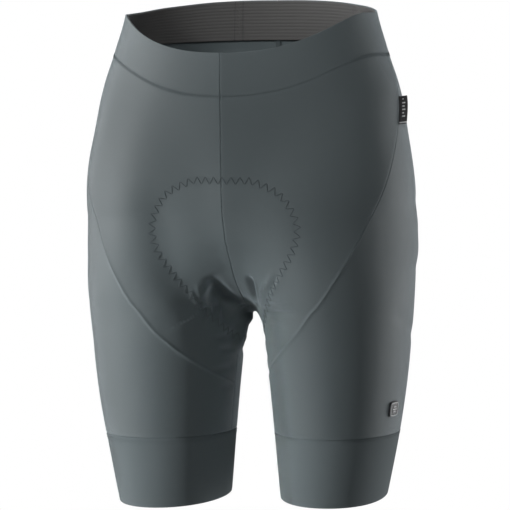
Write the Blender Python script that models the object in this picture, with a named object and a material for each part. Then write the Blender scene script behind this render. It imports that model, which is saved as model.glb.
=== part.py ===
"""Women's cycling shorts, filled out as worn, with nobody inside.

The cloth is the surface of a general figure: a body section that closes under the seat, and two
thighs, run together where cloth bridges them. Every piece is laid on that surface. A place on it is
a side (+1 is the wearer's left, at +X), a level (metres down the side from the waist edge) and a
share of the row at that level (0 at the front seam, 1 at the back seam). Above the crotch a row runs
from the centre front seam round the hip to the centre back seam. Below it, a row goes all round the
thigh, from the inseam back to the inseam.

Metres, +Z up, the wearer faces -Y. The origin is the middle of the waist opening.
"""

import math
from collections import namedtuple

import bmesh
import bpy
import numpy as np

# Cloth thickness and the gap that stands for each seam
CLOTH = 0.0012
ELASTIC = 0.0012
SEAM_GAP = 0.0003
HALF_GAP = SEAM_GAP / 2

# Levels down the side, from the waist edge
WAISTBAND_DEPTH = 0.041
CROTCH_LEVEL = 0.290
BAND_LEVEL = 0.4165
HEM_LEVEL = 0.4820

# How the waist edge dips at the centre front and rises at the centre back
FRONT_DIP = 0.037
BACK_RISE = 0.013
# How far the front of a leg's edge hangs lower than its sides
BAND_DIP = 0.001
HEM_DIP = 0.006

# The body's section at each height: half its width, and its reach to the front and to the back
Section = namedtuple("Section", "height half_width front back")
BODY = (
    Section(-0.165, 0.1540, 0.090, 0.116),
    Section(-0.130, 0.1545, 0.091, 0.112),
    Section(-0.085, 0.1530, 0.092, 0.103),
    Section(-0.040, 0.1405, 0.092, 0.092),
    Section(0.000, 0.1285, 0.090, 0.086),
    Section(0.030, 0.1245, 0.089, 0.084),
)
SEAT_DEPTH = 0.112

# The thigh's section at each height: its centre, and half its width and half its depth
Thigh = namedtuple("Thigh", "height centre_x centre_y half_width half_depth")
THIGH = (
    Thigh(-0.500, 0.0760, 0.005, 0.0508, 0.065),
    Thigh(-0.480, 0.0775, 0.005, 0.0538, 0.068),
    Thigh(-0.415, 0.0823, 0.005, 0.0628, 0.076),
    Thigh(-0.365, 0.0846, 0.005, 0.0687, 0.082),
    Thigh(-0.325, 0.0852, 0.005, 0.0727, 0.087),
    Thigh(-0.285, 0.0845, 0.006, 0.0768, 0.092),
    Thigh(-0.240, 0.0814, 0.010, 0.0806, 0.097),
    Thigh(-0.200, 0.0780, 0.015, 0.0790, 0.098),
)
THIGH_TOP = 0.120
THIGH_TURN = math.radians(8.0)
# The stride: how far the left leg is back, and the right leg forward, at the hem
STRIDE = 0.020
STRIDE_TOP = -0.150

# How far apart two forms may be for the cloth to bridge between them
BRIDGE_THIGHS = 0.022
BRIDGE_BODY = 0.032

FAR = 0.330
MARCH_STEPS = 44
HALVINGS = 22
ROW_SAMPLES = 121


def read(table, column, place):
    """One column of a table at these places, on a smooth curve through its rows. A row's place,
    such as its height, is its first column."""
    at = np.array([row[0] for row in table])
    value = np.array([getattr(row, column) for row in table])
    slope = np.gradient(value, at)
    i = np.clip(np.searchsorted(at, place) - 1, 0, len(at) - 2)
    span = at[i + 1] - at[i]
    t = np.clip((place - at[i]) / span, 0, 1)
    return (
        (1 + 2 * t) * (1 - t) ** 2 * value[i]
        + t * (1 - t) ** 2 * span * slope[i]
        + t * t * (3 - 2 * t) * value[i + 1]
        + t * t * (t - 1) * span * slope[i + 1]
    )


def bridged(a, b, reach):
    """The lesser of two fields, rounded where they are nearly equal."""
    share = np.clip(0.5 + 0.5 * (b - a) / reach, 0, 1)
    return b + (a - b) * share - reach * share * (1 - share)


def body_field(x, y, z):
    """About how far a point is outside the body, closed under the seat like the end of an egg."""
    lowest = BODY[0].height
    level = np.maximum(z, lowest)
    wide = read(BODY, "half_width", level)
    deep = np.where(y < 0, read(BODY, "front", level), read(BODY, "back", level))
    under = np.minimum(z - lowest, 0) / SEAT_DEPTH
    ratio = np.sqrt((x / wide) ** 2 + (y / deep) ** 2 + under**2)
    return (ratio - 1) * np.minimum(wide, deep)


def thigh_centre(side, height):
    """The middle of a thigh at these heights."""
    share = np.clip((STRIDE_TOP - height) / (STRIDE_TOP + HEM_LEVEL), 0, 1.2)
    centre_y = read(THIGH, "centre_y", height) + side * STRIDE * share
    return side * read(THIGH, "centre_x", height), centre_y


def thigh_field(x, y, z, side):
    """About how far a point is outside a thigh, which runs up into the body and closes there."""
    highest = THIGH[-1].height
    level = np.minimum(z, highest)
    centre_x, centre_y = thigh_centre(side, level)
    turn = side * THIGH_TURN
    across, along = x - centre_x, y - centre_y
    wide, deep = read(THIGH, "half_width", level), read(THIGH, "half_depth", level)
    p = (across * math.cos(turn) + along * math.sin(turn)) / wide
    q = (along * math.cos(turn) - across * math.sin(turn)) / deep
    over = np.maximum(z - highest, 0) / THIGH_TOP
    return (np.sqrt(p**2 + q**2 + over**2) - 1) * np.minimum(wide, deep)


def field(points):
    """Below 0 inside the cloth and above 0 outside it."""
    x, y, z = points[..., 0], points[..., 1], points[..., 2]
    thighs = bridged(thigh_field(x, y, z, 1), thigh_field(x, y, z, -1), BRIDGE_THIGHS)
    return bridged(body_field(x, y, z), thighs, BRIDGE_BODY)


def outward(points):
    """The direction straight out of the cloth at each point."""
    step = 0.0005
    slope = np.stack(
        [field(points + step * axis) - field(points - step * axis) for axis in np.eye(3)], axis=-1
    )
    return slope / np.linalg.norm(slope, axis=-1, keepdims=True)


def cast(start, direction, limit):
    """How far along rays from inside the figure the cloth is, or the limit if it is not before."""
    near, far = limit.copy(), limit.copy()
    out = np.zeros(limit.shape, bool)
    for step in range(1, MARCH_STEPS + 1):
        reach = limit * step / MARCH_STEPS
        crossed = (field(start + direction * reach[:, None]) > 0) & ~out
        near[crossed] = (limit * (step - 1) / MARCH_STEPS)[crossed]
        far[crossed] = reach[crossed]
        out |= crossed
    for _ in range(HALVINGS):
        middle = (near + far) / 2
        beyond = field(start + direction * middle[..., None]) > 0
        near, far = np.where(beyond, near, middle), np.where(beyond, middle, far)
    return (near + far) / 2


def settle(points):
    """Points near the cloth moved straight onto it."""
    for _ in range(6):
        points = points - outward(points) * field(points)[..., None]
    return points


def along(line, distance):
    """Points at these distances along a line of points."""
    steps = np.linalg.norm(np.diff(line, axis=0), axis=1)
    at = np.concatenate([[0], np.cumsum(steps)])
    return np.stack([np.interp(distance, at, line[:, k]) for k in range(3)], axis=-1)


def length(line):
    return float(np.linalg.norm(np.diff(line, axis=0), axis=1).sum())


def eased(t):
    t = np.clip(t, 0, 1)
    return t * t * (3 - 2 * t)


# The middle of the seat, which the centre seam's rays start from
SEAT_MIDDLE = np.array([0.0, 0.0, -0.150])
CENTRE_SAMPLES = 640


def centre_line(x):
    """The seam line at this small x, from the centre front waist, under the crotch, to the centre
    back waist. It comes as its front part and its back part, each from the waist to the crotch."""
    turn = np.linspace(-1.45 * math.pi, 0.45 * math.pi, CENTRE_SAMPLES)
    direction = np.stack([0 * turn, np.cos(turn), np.sin(turn)], axis=1)
    start = SEAT_MIDDLE + [x, 0, 0]
    line = start + direction * cast(start, direction, np.full(turn.shape, FAR))[:, None]
    lowest = int(np.argmin(line[:, 2]))
    front, back = line[: lowest + 1], line[lowest:][::-1]
    return front[front[:, 2] < -FRONT_DIP], back[back[:, 2] < BACK_RISE]


CENTRE = {side: centre_line(side * HALF_GAP) for side in (1, -1)}

# The share of the way from an end of a row to the side over which the end's height is felt
END_REACH = 0.84
# How far below the crotch the inseam's height joins the row's own
INSEAM_REACH = 0.050
# Where a waist row turns, out from the middle
WAIST_AXIS_X = 0.072


def dip_at(level):
    """How far the front of a leg's row hangs low at this level."""
    between = (level - CROTCH_LEVEL) / (BAND_LEVEL - CROTCH_LEVEL)
    below = (level - BAND_LEVEL) / (HEM_LEVEL - BAND_LEVEL)
    return BAND_DIP * eased(between) + (HEM_DIP - BAND_DIP) * eased(below)


def row_axis(side, level):
    """The point inside the half garment that a row turns about."""
    thigh_x, thigh_y = thigh_centre(side, np.array(min(-level, THIGH[-1].height)))
    share = float(eased(level / CROTCH_LEVEL))
    x = (1 - share) * side * WAIST_AXIS_X + share * float(thigh_x)
    return np.array([x, share * float(thigh_y), -level])


def row_ends(side, level, axis):
    """Where a row starts and stops: on the centre seam, and below the crotch on the inseam."""
    crotch = CENTRE[side][0][-1]
    if level <= CROTCH_LEVEL:
        share = level / CROTCH_LEVEL
        return [along(line, share * (length(line) - HALF_GAP)) for line in CENTRE[side]]
    left = 1 - min((level - CROTCH_LEVEL) / INSEAM_REACH, 1)
    drop = (crotch[2] + CROTCH_LEVEL) * left**2
    end_y = axis[1] + (crotch[1] - axis[1]) * left**2
    return [np.array([side * HALF_GAP, end_y, drop - level])] * 2


def row(side, level):
    """The cloth's line at one level, from its front seam to its back seam."""
    axis = row_axis(side, level)
    ends = row_ends(side, level, axis)
    arms = [end - axis for end in ends]
    angles = [math.atan2(arm[1], arm[0] * side) for arm in arms]
    first = angles[0] - (2 * math.pi if angles[0] > 0 else 0)
    last = angles[1] + (2 * math.pi if angles[1] < 0 else 0)
    angle = np.linspace(first, last, ROW_SAMPLES)
    start_pull = eased(1 - (angle - first) / (END_REACH * -first))
    stop_pull = eased(1 - (last - angle) / (END_REACH * last))
    flat = np.stack([side * np.cos(angle), np.sin(angle), 0 * angle], axis=1)
    inward = np.minimum(side * flat[:, 0], -1e-6)
    limit = np.where(inward < -0.01, (side * axis[0] - HALF_GAP) / -inward, FAR)
    reach = cast(axis, flat, np.minimum(limit, FAR))
    reach += (math.hypot(arms[0][0], arms[0][1]) - reach[0]) * start_pull
    reach += (math.hypot(arms[1][0], arms[1][1]) - reach[-1]) * stop_pull
    rise = arms[0][2] * start_pull + arms[1][2] * stop_pull + dip_at(level) * np.sin(angle)
    flat[:, 2] = rise / reach
    return axis + flat * cast(axis, flat, np.minimum(limit, FAR))[:, None]


ROWS = {}


def row_at(side, level):
    """The row at a level, worked out once."""
    key = (side, round(level, 6))
    if key not in ROWS:
        ROWS[key] = row(side, level)
    return ROWS[key]


def place(side, level, share):
    """Points of the cloth's outer face at one level, at these shares of its row."""
    line = row_at(side, level)
    trim = 0 if level <= CROTCH_LEVEL else HALF_GAP
    return along(line, trim + np.asarray(share) * (length(line) - 2 * trim))


# The diagonal seam between a front and a leg panel: how many degrees forward of the side it is at
# each level, round the row's axis, so that 90 is the front and 180 is the inseam
Diagonal = namedtuple("Diagonal", "level turn")
DIAGONAL = (
    Diagonal(0.041, 0.0),
    Diagonal(0.070, 4.0),
    Diagonal(0.100, 11.5),
    Diagonal(0.160, 34.5),
    Diagonal(0.215, 58.0),
    Diagonal(0.250, 73.0),
    Diagonal(0.290, 89.0),
    Diagonal(0.318, 104.5),
    Diagonal(0.342, 127.0),
    Diagonal(0.357, 150.0),
    Diagonal(0.370, 180.0),
)
DIAGONAL_END = DIAGONAL[-1].level
# The front panel's lowest row, where its point is about a millimetre wide
FRONT_POINT = DIAGONAL_END - 0.0008

FRONT_COLUMNS = 13
LEG_COLUMNS = 25
# How much closer a leg panel's columns are at the seat and the crotch than at its side
BUNCH = 0.4
WAISTBAND_ROWS = 4
HIP_ROWS = 19
# Rows below the crotch, closer together where the front panel comes to its point
THIGH_LEVELS = (0.298, 0.308, 0.320, 0.332, 0.344, 0.355, 0.363, 0.367, FRONT_POINT, 0.382, 0.398)
BAND_ROWS = 5

HIP_LEVELS = np.linspace(WAISTBAND_DEPTH + HALF_GAP, CROTCH_LEVEL, HIP_ROWS)
PANEL_LEVELS = np.concatenate([HIP_LEVELS, THIGH_LEVELS, [BAND_LEVEL - HALF_GAP]])
FRONT_LEVELS = PANEL_LEVELS[PANEL_LEVELS <= FRONT_POINT + 1e-9]


def diagonal_turn(level):
    return math.radians(float(read(DIAGONAL, "turn", np.array(level))))


def diagonal_share(side, level):
    """The share of the row where the diagonal seam crosses it."""
    if level >= DIAGONAL_END:
        return 0.0
    line = row_at(side, level)
    arm = line - row_axis(side, level)
    turn = np.unwrap(np.arctan2(arm[:, 1], side * arm[:, 0]))
    turn -= 2 * math.pi if turn[0] > 0 else 0
    steps = np.linalg.norm(np.diff(line, axis=0), axis=1)
    at = np.concatenate([[0], np.cumsum(steps)])
    return float(np.interp(-diagonal_turn(level), turn, at) / at[-1])


def diagonal_trim(side, level):
    """Half the seam's gap, measured along the row, which the seam crosses at a slant."""
    step = 0.001
    foot = place(side, level, diagonal_share(side, level))
    reach = float(np.linalg.norm(foot - row_axis(side, level)))
    slant = (diagonal_turn(level + step) - diagonal_turn(level - step)) * reach / (2 * step)
    return HALF_GAP * math.hypot(1, slant) / length(row_at(side, level))


def front_grid(side):
    rows = []
    for level in FRONT_LEVELS:
        edge = diagonal_share(side, level) - diagonal_trim(side, level)
        rows.append(place(side, level, np.linspace(0, edge, FRONT_COLUMNS)))
    return np.array(rows)


def leg_shares(level, edge):
    """A leg panel's columns at one level, from the diagonal seam to the back."""
    t = np.linspace(0, 1, LEG_COLUMNS)
    bunch = BUNCH * (1 - eased((level - CROTCH_LEVEL) / (DIAGONAL_END - CROTCH_LEVEL)))
    return edge + (1 - edge) * (t + bunch * t * (1 - t))


def leg_grid(side):
    rows = []
    for level in PANEL_LEVELS:
        edge = diagonal_share(side, level)
        edge += diagonal_trim(side, level) if edge > 0 else 0
        rows.append(place(side, level, leg_shares(level, edge)))
    return np.array(rows)


def waistband_grid(side):
    edge = diagonal_share(side, WAISTBAND_DEPTH)
    front = np.linspace(0, edge, FRONT_COLUMNS)
    share = np.concatenate([front, leg_shares(WAISTBAND_DEPTH, edge)[1:]])
    levels = np.linspace(0, WAISTBAND_DEPTH - HALF_GAP, WAISTBAND_ROWS)
    return np.array([place(side, level, share) for level in levels])


def band_grid(side):
    """A leg band, whose last column is its first again, so that it closes into a tube."""
    levels = np.linspace(BAND_LEVEL + HALF_GAP, HEM_LEVEL, BAND_ROWS)
    grid = np.array([place(side, level, np.linspace(0, 1, LEG_COLUMNS)) for level in levels])
    grid[:, 0] = grid[:, -1] = (grid[:, 0] + grid[:, -1]) / 2
    return grid


def material(name, colour, roughness):
    made = bpy.data.materials.new(name)
    made.use_nodes = True
    shader = made.node_tree.nodes["Principled BSDF"]
    shader.inputs["Base Color"].default_value = (*colour, 1)
    shader.inputs["Roughness"].default_value = roughness
    shader.inputs["Metallic"].default_value = 0
    return made


def add(name, bm, finish):
    """The closed bmesh as an object of this name."""
    bmesh.ops.recalc_face_normals(bm, faces=bm.faces[:])
    mesh = bpy.data.meshes.new(name)
    bm.to_mesh(mesh)
    bm.free()
    mesh.materials.append(finish)
    mesh.shade_smooth()
    mesh.set_sharp_from_angle(angle=math.radians(40))
    made = bpy.data.objects.new(name, mesh)
    bpy.context.scene.collection.objects.link(made)
    return made


def sheet(grid):
    """A grid of faces through a grid of points. Each vertex keeps its number in a layer."""
    rows, columns = grid.shape[:2]
    bm = bmesh.new()
    bmesh.ops.create_grid(bm, x_segments=columns - 1, y_segments=rows - 1, size=0.5)
    number = bm.verts.layers.int.new("number")
    for k, (vert, point) in enumerate(zip(bm.verts, grid.reshape(-1, 3))):
        vert.co = point
        vert[number] = k
    return bm, number


def wall(name, outer, inner, finish, closed=False):
    """A closed solid between two grids of points of the same shape."""
    bm, number = sheet(outer)
    if closed:
        bmesh.ops.remove_doubles(bm, verts=bm.verts[:], dist=1e-6)
    made = bmesh.ops.extrude_face_region(bm, geom=bm.faces[:])["geom"]
    points = inner.reshape(-1, 3)
    for vert in (item for item in made if isinstance(item, bmesh.types.BMVert)):
        vert.co = points[vert[number]]
    return add(name, bm, finish)


def cloth(name, grid, finish, closed=False):
    """A cloth piece with its outer face on the grid and its wall inside it."""
    return wall(name, grid, grid - outward(grid) * CLOTH, finish, closed)


# The elastic inside the waistband: its ribs, and where its two ends meet at the back
RIBS = 12
RIB_HEIGHT = 0.0004
# It has one column of points for this many of the waistband's
FACING_STRIDE = 2
FACING_TOP = 0.02
FACING_JOIN_X = -0.040


def waist_facing(bands, finish):
    """A ribbed elastic ring, a gap inside the waistband. Each column is a closed profile: its plain
    outer side, then its ribs from the bottom to the top."""
    right, left = bands[-1], bands[1]
    ring = np.concatenate([right[:, ::-1], left[:, 1:]], axis=1)
    ring[:, right.shape[1] - 1] = (right[:, 0] + left[:, 0]) / 2
    ring[:, 0] = ring[:, -1] = (right[:, -1] + left[:, -1]) / 2
    start = int(np.argmin(np.abs(ring[0, : right.shape[1] // 2, 0] - FACING_JOIN_X)))
    ring = np.concatenate([ring[:, start:-1], ring[:, : start + 1]], axis=1)[:, ::FACING_STRIDE]
    inward = -outward(ring)
    shares = np.linspace(1, FACING_TOP, 2 * RIBS + 1)
    profile = [(FACING_TOP, 0)] + [(share, 0) for share in np.linspace(0, 1, WAISTBAND_ROWS)[1:]]
    profile += [(share, ELASTIC + RIB_HEIGHT * (k % 2)) for k, share in enumerate(shares)]
    profile.append(profile[0])
    at = np.linspace(0, 1, len(ring))
    columns = []
    for j in range(ring.shape[1]):
        column = []
        for share, depth in profile:
            middle = [np.interp(share, at, ring[:, j, k]) for k in range(3)]
            way = [np.interp(share, at, inward[:, j, k]) for k in range(3)]
            column.append(np.array(middle) + np.array(way) * (CLOTH + SEAM_GAP + depth))
        columns.append(column)
    grid = np.array(columns)
    for end, beside in ((0, 1), (-1, -2)):
        way = grid[beside] - grid[end]
        grid[end] += way / np.linalg.norm(way, axis=1, keepdims=True) * HALF_GAP
    bm, _ = sheet(grid)
    bmesh.ops.remove_doubles(bm, verts=bm.verts[:], dist=1e-6)
    bmesh.ops.holes_fill(bm, edges=[edge for edge in bm.edges if edge.is_boundary], sides=0)
    return add("waist_facing", bm, finish)


# The seat pad: half its width at each distance along the centre seam from its front edge
Pad = namedtuple("Pad", "run half_width")
PAD = (
    Pad(0.000, 0.030),
    Pad(0.010, 0.053),
    Pad(0.025, 0.067),
    Pad(0.045, 0.075),
    Pad(0.065, 0.071),
    Pad(0.090, 0.056),
    Pad(0.120, 0.041),
    Pad(0.150, 0.035),
    Pad(0.185, 0.040),
    Pad(0.225, 0.060),
    Pad(0.260, 0.068),
    Pad(0.285, 0.058),
    Pad(0.300, 0.034),
)
# How far down the centre front seam the pad starts
PAD_START = 0.124
PAD_EDGE = 0.0015
PAD_THICK = 0.0060
PAD_CLEARANCE = 0.0016
PAD_ROWS = 25
PAD_COLUMNS = 17
WALK_STEP = 0.0025


def walk(points, way, distances):
    """Points at these distances along the straightest lines over the cloth from each point."""
    distances = np.asarray(distances)
    steps = int(math.ceil(distances.max() / WALK_STEP))
    path = [points]
    for _ in range(steps):
        normal = outward(points)
        way = way - normal * (way * normal).sum(axis=1, keepdims=True)
        way = way / np.linalg.norm(way, axis=1, keepdims=True)
        ahead = settle(points + way * WALK_STEP)
        way, points = ahead - points, ahead
        path.append(points)
    path = np.array(path)
    return np.array([along(path[:, i], distances[i]) for i in range(len(distances))])


def pad_grid():
    """The pad's place on the cloth's outer face: a row for each run, from its right to its left."""
    front, back = centre_line(0.0)
    line = np.concatenate([front, back[-2::-1]])
    bunch = (1 - np.cos(np.linspace(0, math.pi, PAD_ROWS))) / 2
    runs = PAD[-1].run * (0.5 * bunch + 0.5 * np.linspace(0, 1, PAD_ROWS))
    start = settle(along(line, PAD_START + runs))
    width = read(PAD, "half_width", runs)
    share = np.linspace(0, 1, PAD_COLUMNS // 2 + 1)
    way = np.tile([1.0, 0, 0], (PAD_ROWS, 1))
    left = walk(start, way, width[:, None] * share)
    right = walk(start, -way, width[:, None] * share)
    return np.concatenate([right[:, :0:-1], left], axis=1), runs


def seat_pad(finish):
    """The stretch pad, thickest along its middle and thin at its stitched edge."""
    grid, runs = pad_grid()
    across = np.abs(np.linspace(-1, 1, PAD_COLUMNS))
    end = np.minimum(runs, PAD[-1].run - runs) / 0.030
    fill = eased((1 - across) / 0.6)[None, :] * eased(end)[:, None]
    depth = PAD_EDGE + (PAD_THICK - PAD_EDGE) * fill
    inward = -outward(grid)
    outer = grid + inward * (CLOTH + PAD_CLEARANCE)
    return wall("seat_pad", outer, outer + inward * depth[..., None], finish)


# The woven tag, a folded loop caught in the left side seam
TAG_LEVEL = 0.096
TAG_HEIGHT = 0.027
TAG_REACH = 0.012
TAG_THICK = 0.0010
TAG_LIFT = 0.55


def side_tag(finish):
    levels = np.linspace(TAG_LEVEL - TAG_HEIGHT / 2, TAG_LEVEL + TAG_HEIGHT / 2, 4)
    foot = np.array([place(1, level, diagonal_share(1, level)) for level in levels])
    ahead = np.array([place(1, level, diagonal_share(1, level) + 0.01) for level in levels])
    normal = outward(foot)
    back = (ahead - foot) / np.linalg.norm(ahead - foot, axis=1, keepdims=True)
    middle_normal, middle_back = normal.mean(axis=0), back.mean(axis=0)
    out = middle_back + TAG_LIFT * middle_normal
    out /= np.linalg.norm(out)
    face = middle_normal - out * float(middle_normal @ out)
    face /= np.linalg.norm(face)
    near = foot + normal * SEAM_GAP
    under = np.stack([near + out * TAG_REACH * share for share in (0, 0.5, 1)], axis=1)
    return wall("side_tag", under + face * TAG_THICK, under, finish)


# The moulded badge low on the left leg
BADGE_LEVEL = 0.390
BADGE_SHARE = 0.446
BADGE_SIZE = 0.016
BADGE_THICK = 0.0016
BADGE_ROUNDING = 0.40
BADGE_POINTS = 7


def leg_badge(finish):
    """A rounded square that lies on the left leg panel, made from that panel's points moved out."""
    span = np.linspace(-1, 1, BADGE_POINTS)
    around = length(row_at(1, BADGE_LEVEL))
    rows = []
    for down in span:
        line = []
        for across in span:
            a = across * math.sqrt(1 - BADGE_ROUNDING * down**2 / 2) * BADGE_SIZE / 2
            b = down * math.sqrt(1 - BADGE_ROUNDING * across**2 / 2) * BADGE_SIZE / 2
            line.append(place(1, BADGE_LEVEL + b, BADGE_SHARE + a / around))
        rows.append(line)
    grid = np.array(rows)
    normal = outward(grid)
    under = grid + normal * SEAM_GAP
    return wall("leg_badge", under + normal * BADGE_THICK, under, finish)


def main():
    for old in list(bpy.data.objects):
        bpy.data.objects.remove(old)
    knit = material("stretch knit", (0.115, 0.142, 0.150), 0.55)
    band_knit = material("band knit", (0.095, 0.118, 0.126), 0.70)
    elastic = material("ribbed elastic", (0.040, 0.040, 0.041), 0.80)
    foam = material("pad cloth", (0.075, 0.080, 0.084), 0.85)
    woven = material("woven tag", (0.035, 0.035, 0.037), 0.75)
    rubber = material("badge rubber", (0.060, 0.062, 0.065), 0.50)
    bands = {}
    for side, hand in ((1, "left"), (-1, "right")):
        bands[side] = waistband_grid(side)
        cloth(f"waistband_{hand}", bands[side], knit)
        cloth(f"front_{hand}", front_grid(side), knit)
        cloth(f"leg_panel_{hand}", leg_grid(side), knit)
        cloth(f"leg_band_{hand}", band_grid(side), band_knit, closed=True)
    waist_facing(bands, elastic)
    seat_pad(foam)
    side_tag(woven)
    leg_badge(rubber)


if __name__ == "__main__":
    main()
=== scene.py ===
"""Women's cycling shorts, filled out as worn: their cloth, stitches and trims, and a plain stage.

The cloth is the surface of a general figure: a body section that closes under the seat, and two
thighs, run together where cloth bridges them. A place on it is a side (+1 is the wearer's left, at
+X), a level (metres down the side from the waist edge) and a share of the row at that level (0 at the
front seam, 1 at the back seam). Metres, +Z up, the wearer faces -Y.
"""

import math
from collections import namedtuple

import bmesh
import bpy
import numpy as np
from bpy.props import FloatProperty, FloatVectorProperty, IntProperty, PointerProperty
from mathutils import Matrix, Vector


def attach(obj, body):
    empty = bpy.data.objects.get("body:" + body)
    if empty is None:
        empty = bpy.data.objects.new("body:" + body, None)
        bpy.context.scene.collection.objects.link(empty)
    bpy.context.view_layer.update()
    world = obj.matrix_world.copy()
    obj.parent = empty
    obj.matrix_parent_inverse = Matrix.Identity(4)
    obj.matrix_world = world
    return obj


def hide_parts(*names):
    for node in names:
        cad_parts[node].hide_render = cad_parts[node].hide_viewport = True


bl_info = {
    "name": "Cycling Shorts",
    "version": (1, 0, 0),
    "blender": (4, 5, 0),
    "location": "3D View > Sidebar > Shorts",
    "description": "Builds women's cycling shorts, filled out as worn, round their fixed frame",
    "category": "Object",
}

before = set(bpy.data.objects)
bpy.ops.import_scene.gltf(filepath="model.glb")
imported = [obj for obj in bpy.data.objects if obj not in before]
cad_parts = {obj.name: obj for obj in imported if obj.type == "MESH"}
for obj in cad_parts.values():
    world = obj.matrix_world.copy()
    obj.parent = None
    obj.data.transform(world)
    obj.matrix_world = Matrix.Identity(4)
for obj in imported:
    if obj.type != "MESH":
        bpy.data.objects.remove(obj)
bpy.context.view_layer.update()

HANDS = ((1, "left"), (-1, "right"))


def named_rows(columns, *rows):
    """Rows of values, with a name for each column."""
    row = namedtuple("Row", columns)
    return tuple(row(*values) for values in rows)


# The construction's sizes, as in the frame
CLOTH = 0.0012
SEAM_GAP = 0.0003
HALF_GAP = SEAM_GAP / 2
WAISTBAND_DEPTH = 0.041
CROTCH_LEVEL = 0.290
BAND_LEVEL = 0.4165
HEM_LEVEL = 0.4820
FRONT_DIP = 0.037
BACK_RISE = 0.013
BAND_DIP = 0.001
HEM_DIP = 0.006

# The body's section at each height: half its width, and its reach to the front and to the back
BODY = named_rows(
    "height half_width front back",
    (-0.165, 0.1540, 0.090, 0.116),
    (-0.130, 0.1545, 0.091, 0.112),
    (-0.085, 0.1530, 0.092, 0.103),
    (-0.040, 0.1405, 0.092, 0.092),
    (0.000, 0.1285, 0.090, 0.086),
    (0.030, 0.1245, 0.089, 0.084),
)
SEAT_DEPTH = 0.112
HALVES_REACH = 0.080

# The thigh's section at each height: its centre, and half its width and half its depth
THIGH = named_rows(
    "height centre_x centre_y half_width half_depth",
    (-0.500, 0.0760, 0.005, 0.0508, 0.065),
    (-0.480, 0.0775, 0.005, 0.0538, 0.068),
    (-0.415, 0.0823, 0.005, 0.0628, 0.076),
    (-0.365, 0.0846, 0.005, 0.0687, 0.082),
    (-0.325, 0.0852, 0.005, 0.0727, 0.087),
    (-0.285, 0.0845, 0.006, 0.0768, 0.092),
    (-0.240, 0.0814, 0.010, 0.0806, 0.097),
    (-0.200, 0.0780, 0.015, 0.0790, 0.098),
)
THIGH_TOP = 0.120
THIGH_TURN = math.radians(8.0)
STRIDE = 0.020
STRIDE_TOP = -0.150
BRIDGE_THIGHS = 0.022
BRIDGE_BODY = 0.032

FAR = 0.330
MARCH_STEPS = 44
SETTLE_STEPS = 6
HALVINGS = 14
ROW_SAMPLES = 181
SEAT_MIDDLE = np.array([0.0, 0.0, -0.150])
CENTRE_SAMPLES = 640
CENTRE_TURN = (-1.45 * math.pi, 0.45 * math.pi)
END_REACH = 0.84
INSEAM_REACH = 0.050
WAIST_AXIS_X = 0.072

# The diagonal seam: how many degrees forward of the side it is at each level
DIAGONAL = named_rows(
    "level turn",
    (0.041, 0.0),
    (0.070, 4.0),
    (0.100, 11.5),
    (0.160, 34.5),
    (0.215, 58.0),
    (0.250, 73.0),
    (0.290, 89.0),
    (0.318, 104.5),
    (0.342, 127.0),
    (0.357, 150.0),
    (0.370, 180.0),
)
DIAGONAL_END = DIAGONAL[-1].level
FRONT_POINT = DIAGONAL_END - 0.0008

# The seat pad: half its width at each distance along the centre seam from its front edge
PAD = named_rows(
    "run half_width",
    (0.000, 0.030),
    (0.010, 0.053),
    (0.025, 0.067),
    (0.045, 0.075),
    (0.065, 0.071),
    (0.090, 0.056),
    (0.120, 0.041),
    (0.150, 0.035),
    (0.185, 0.040),
    (0.225, 0.060),
    (0.260, 0.068),
    (0.285, 0.058),
    (0.300, 0.034),
)
PAD_START = 0.124
PAD_EDGE = 0.0015
PAD_THICK = 0.0060
PAD_CLEARANCE = 0.0016
PAD_HALF_WIDTH = 0.07
WALK_STEP = 0.0025

READ_POINTS = 4001
KEPT = {}


def kept(key, maker):
    """What many pieces use, worked out once."""
    if key not in KEPT:
        KEPT[key] = maker()
    return KEPT[key]


def eased(t):
    t = np.clip(t, 0, 1)
    return t * t * (3 - 2 * t)


def bell(distance, width):
    return np.exp(-((distance / width) ** 2))


def curve_through(table, column):
    """A column of a table as close points of a smooth curve through its rows."""
    at = np.array([row[0] for row in table])
    value = np.array([getattr(row, column) for row in table])
    slope = np.gradient(value, at)
    place = np.linspace(at[0], at[-1], READ_POINTS)
    i = np.clip(np.searchsorted(at, place) - 1, 0, len(at) - 2)
    span = at[i + 1] - at[i]
    t = (place - at[i]) / span
    return place, (
        (1 + 2 * t) * (1 - t) ** 2 * value[i]
        + t * (1 - t) ** 2 * span * slope[i]
        + t * t * (3 - 2 * t) * value[i + 1]
        + t * t * (t - 1) * span * slope[i + 1]
    )


def read(table, column, place):
    """One column of a table at these places."""
    return np.interp(place, *kept((table, column), lambda: curve_through(table, column)))


def bridged(a, b, reach):
    """The lesser of two fields, rounded where they are nearly equal."""
    share = np.clip(0.5 + 0.5 * (b - a) / reach, 0, 1)
    return b + (a - b) * share - reach * share * (1 - share)


def body_field(x, y, z):
    lowest = BODY[0].height
    level = np.maximum(z, lowest)
    wide = read(BODY, "half_width", level)
    front, back = read(BODY, "front", level), read(BODY, "back", level)
    under = np.minimum(z - lowest, 0) / SEAT_DEPTH
    ratio = np.sqrt((x / wide) ** 2 + (y / np.where(y < 0, front, back)) ** 2 + under**2)
    between = front + (back - front) * eased(0.5 + y / HALVES_REACH)
    return (ratio - 1) * np.minimum(wide, between)


def thigh_centre(side, height):
    share = np.clip((STRIDE_TOP - height) / (STRIDE_TOP + HEM_LEVEL), 0, 1.2)
    centre_y = read(THIGH, "centre_y", height) + side * STRIDE * share
    return side * read(THIGH, "centre_x", height), centre_y


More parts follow.
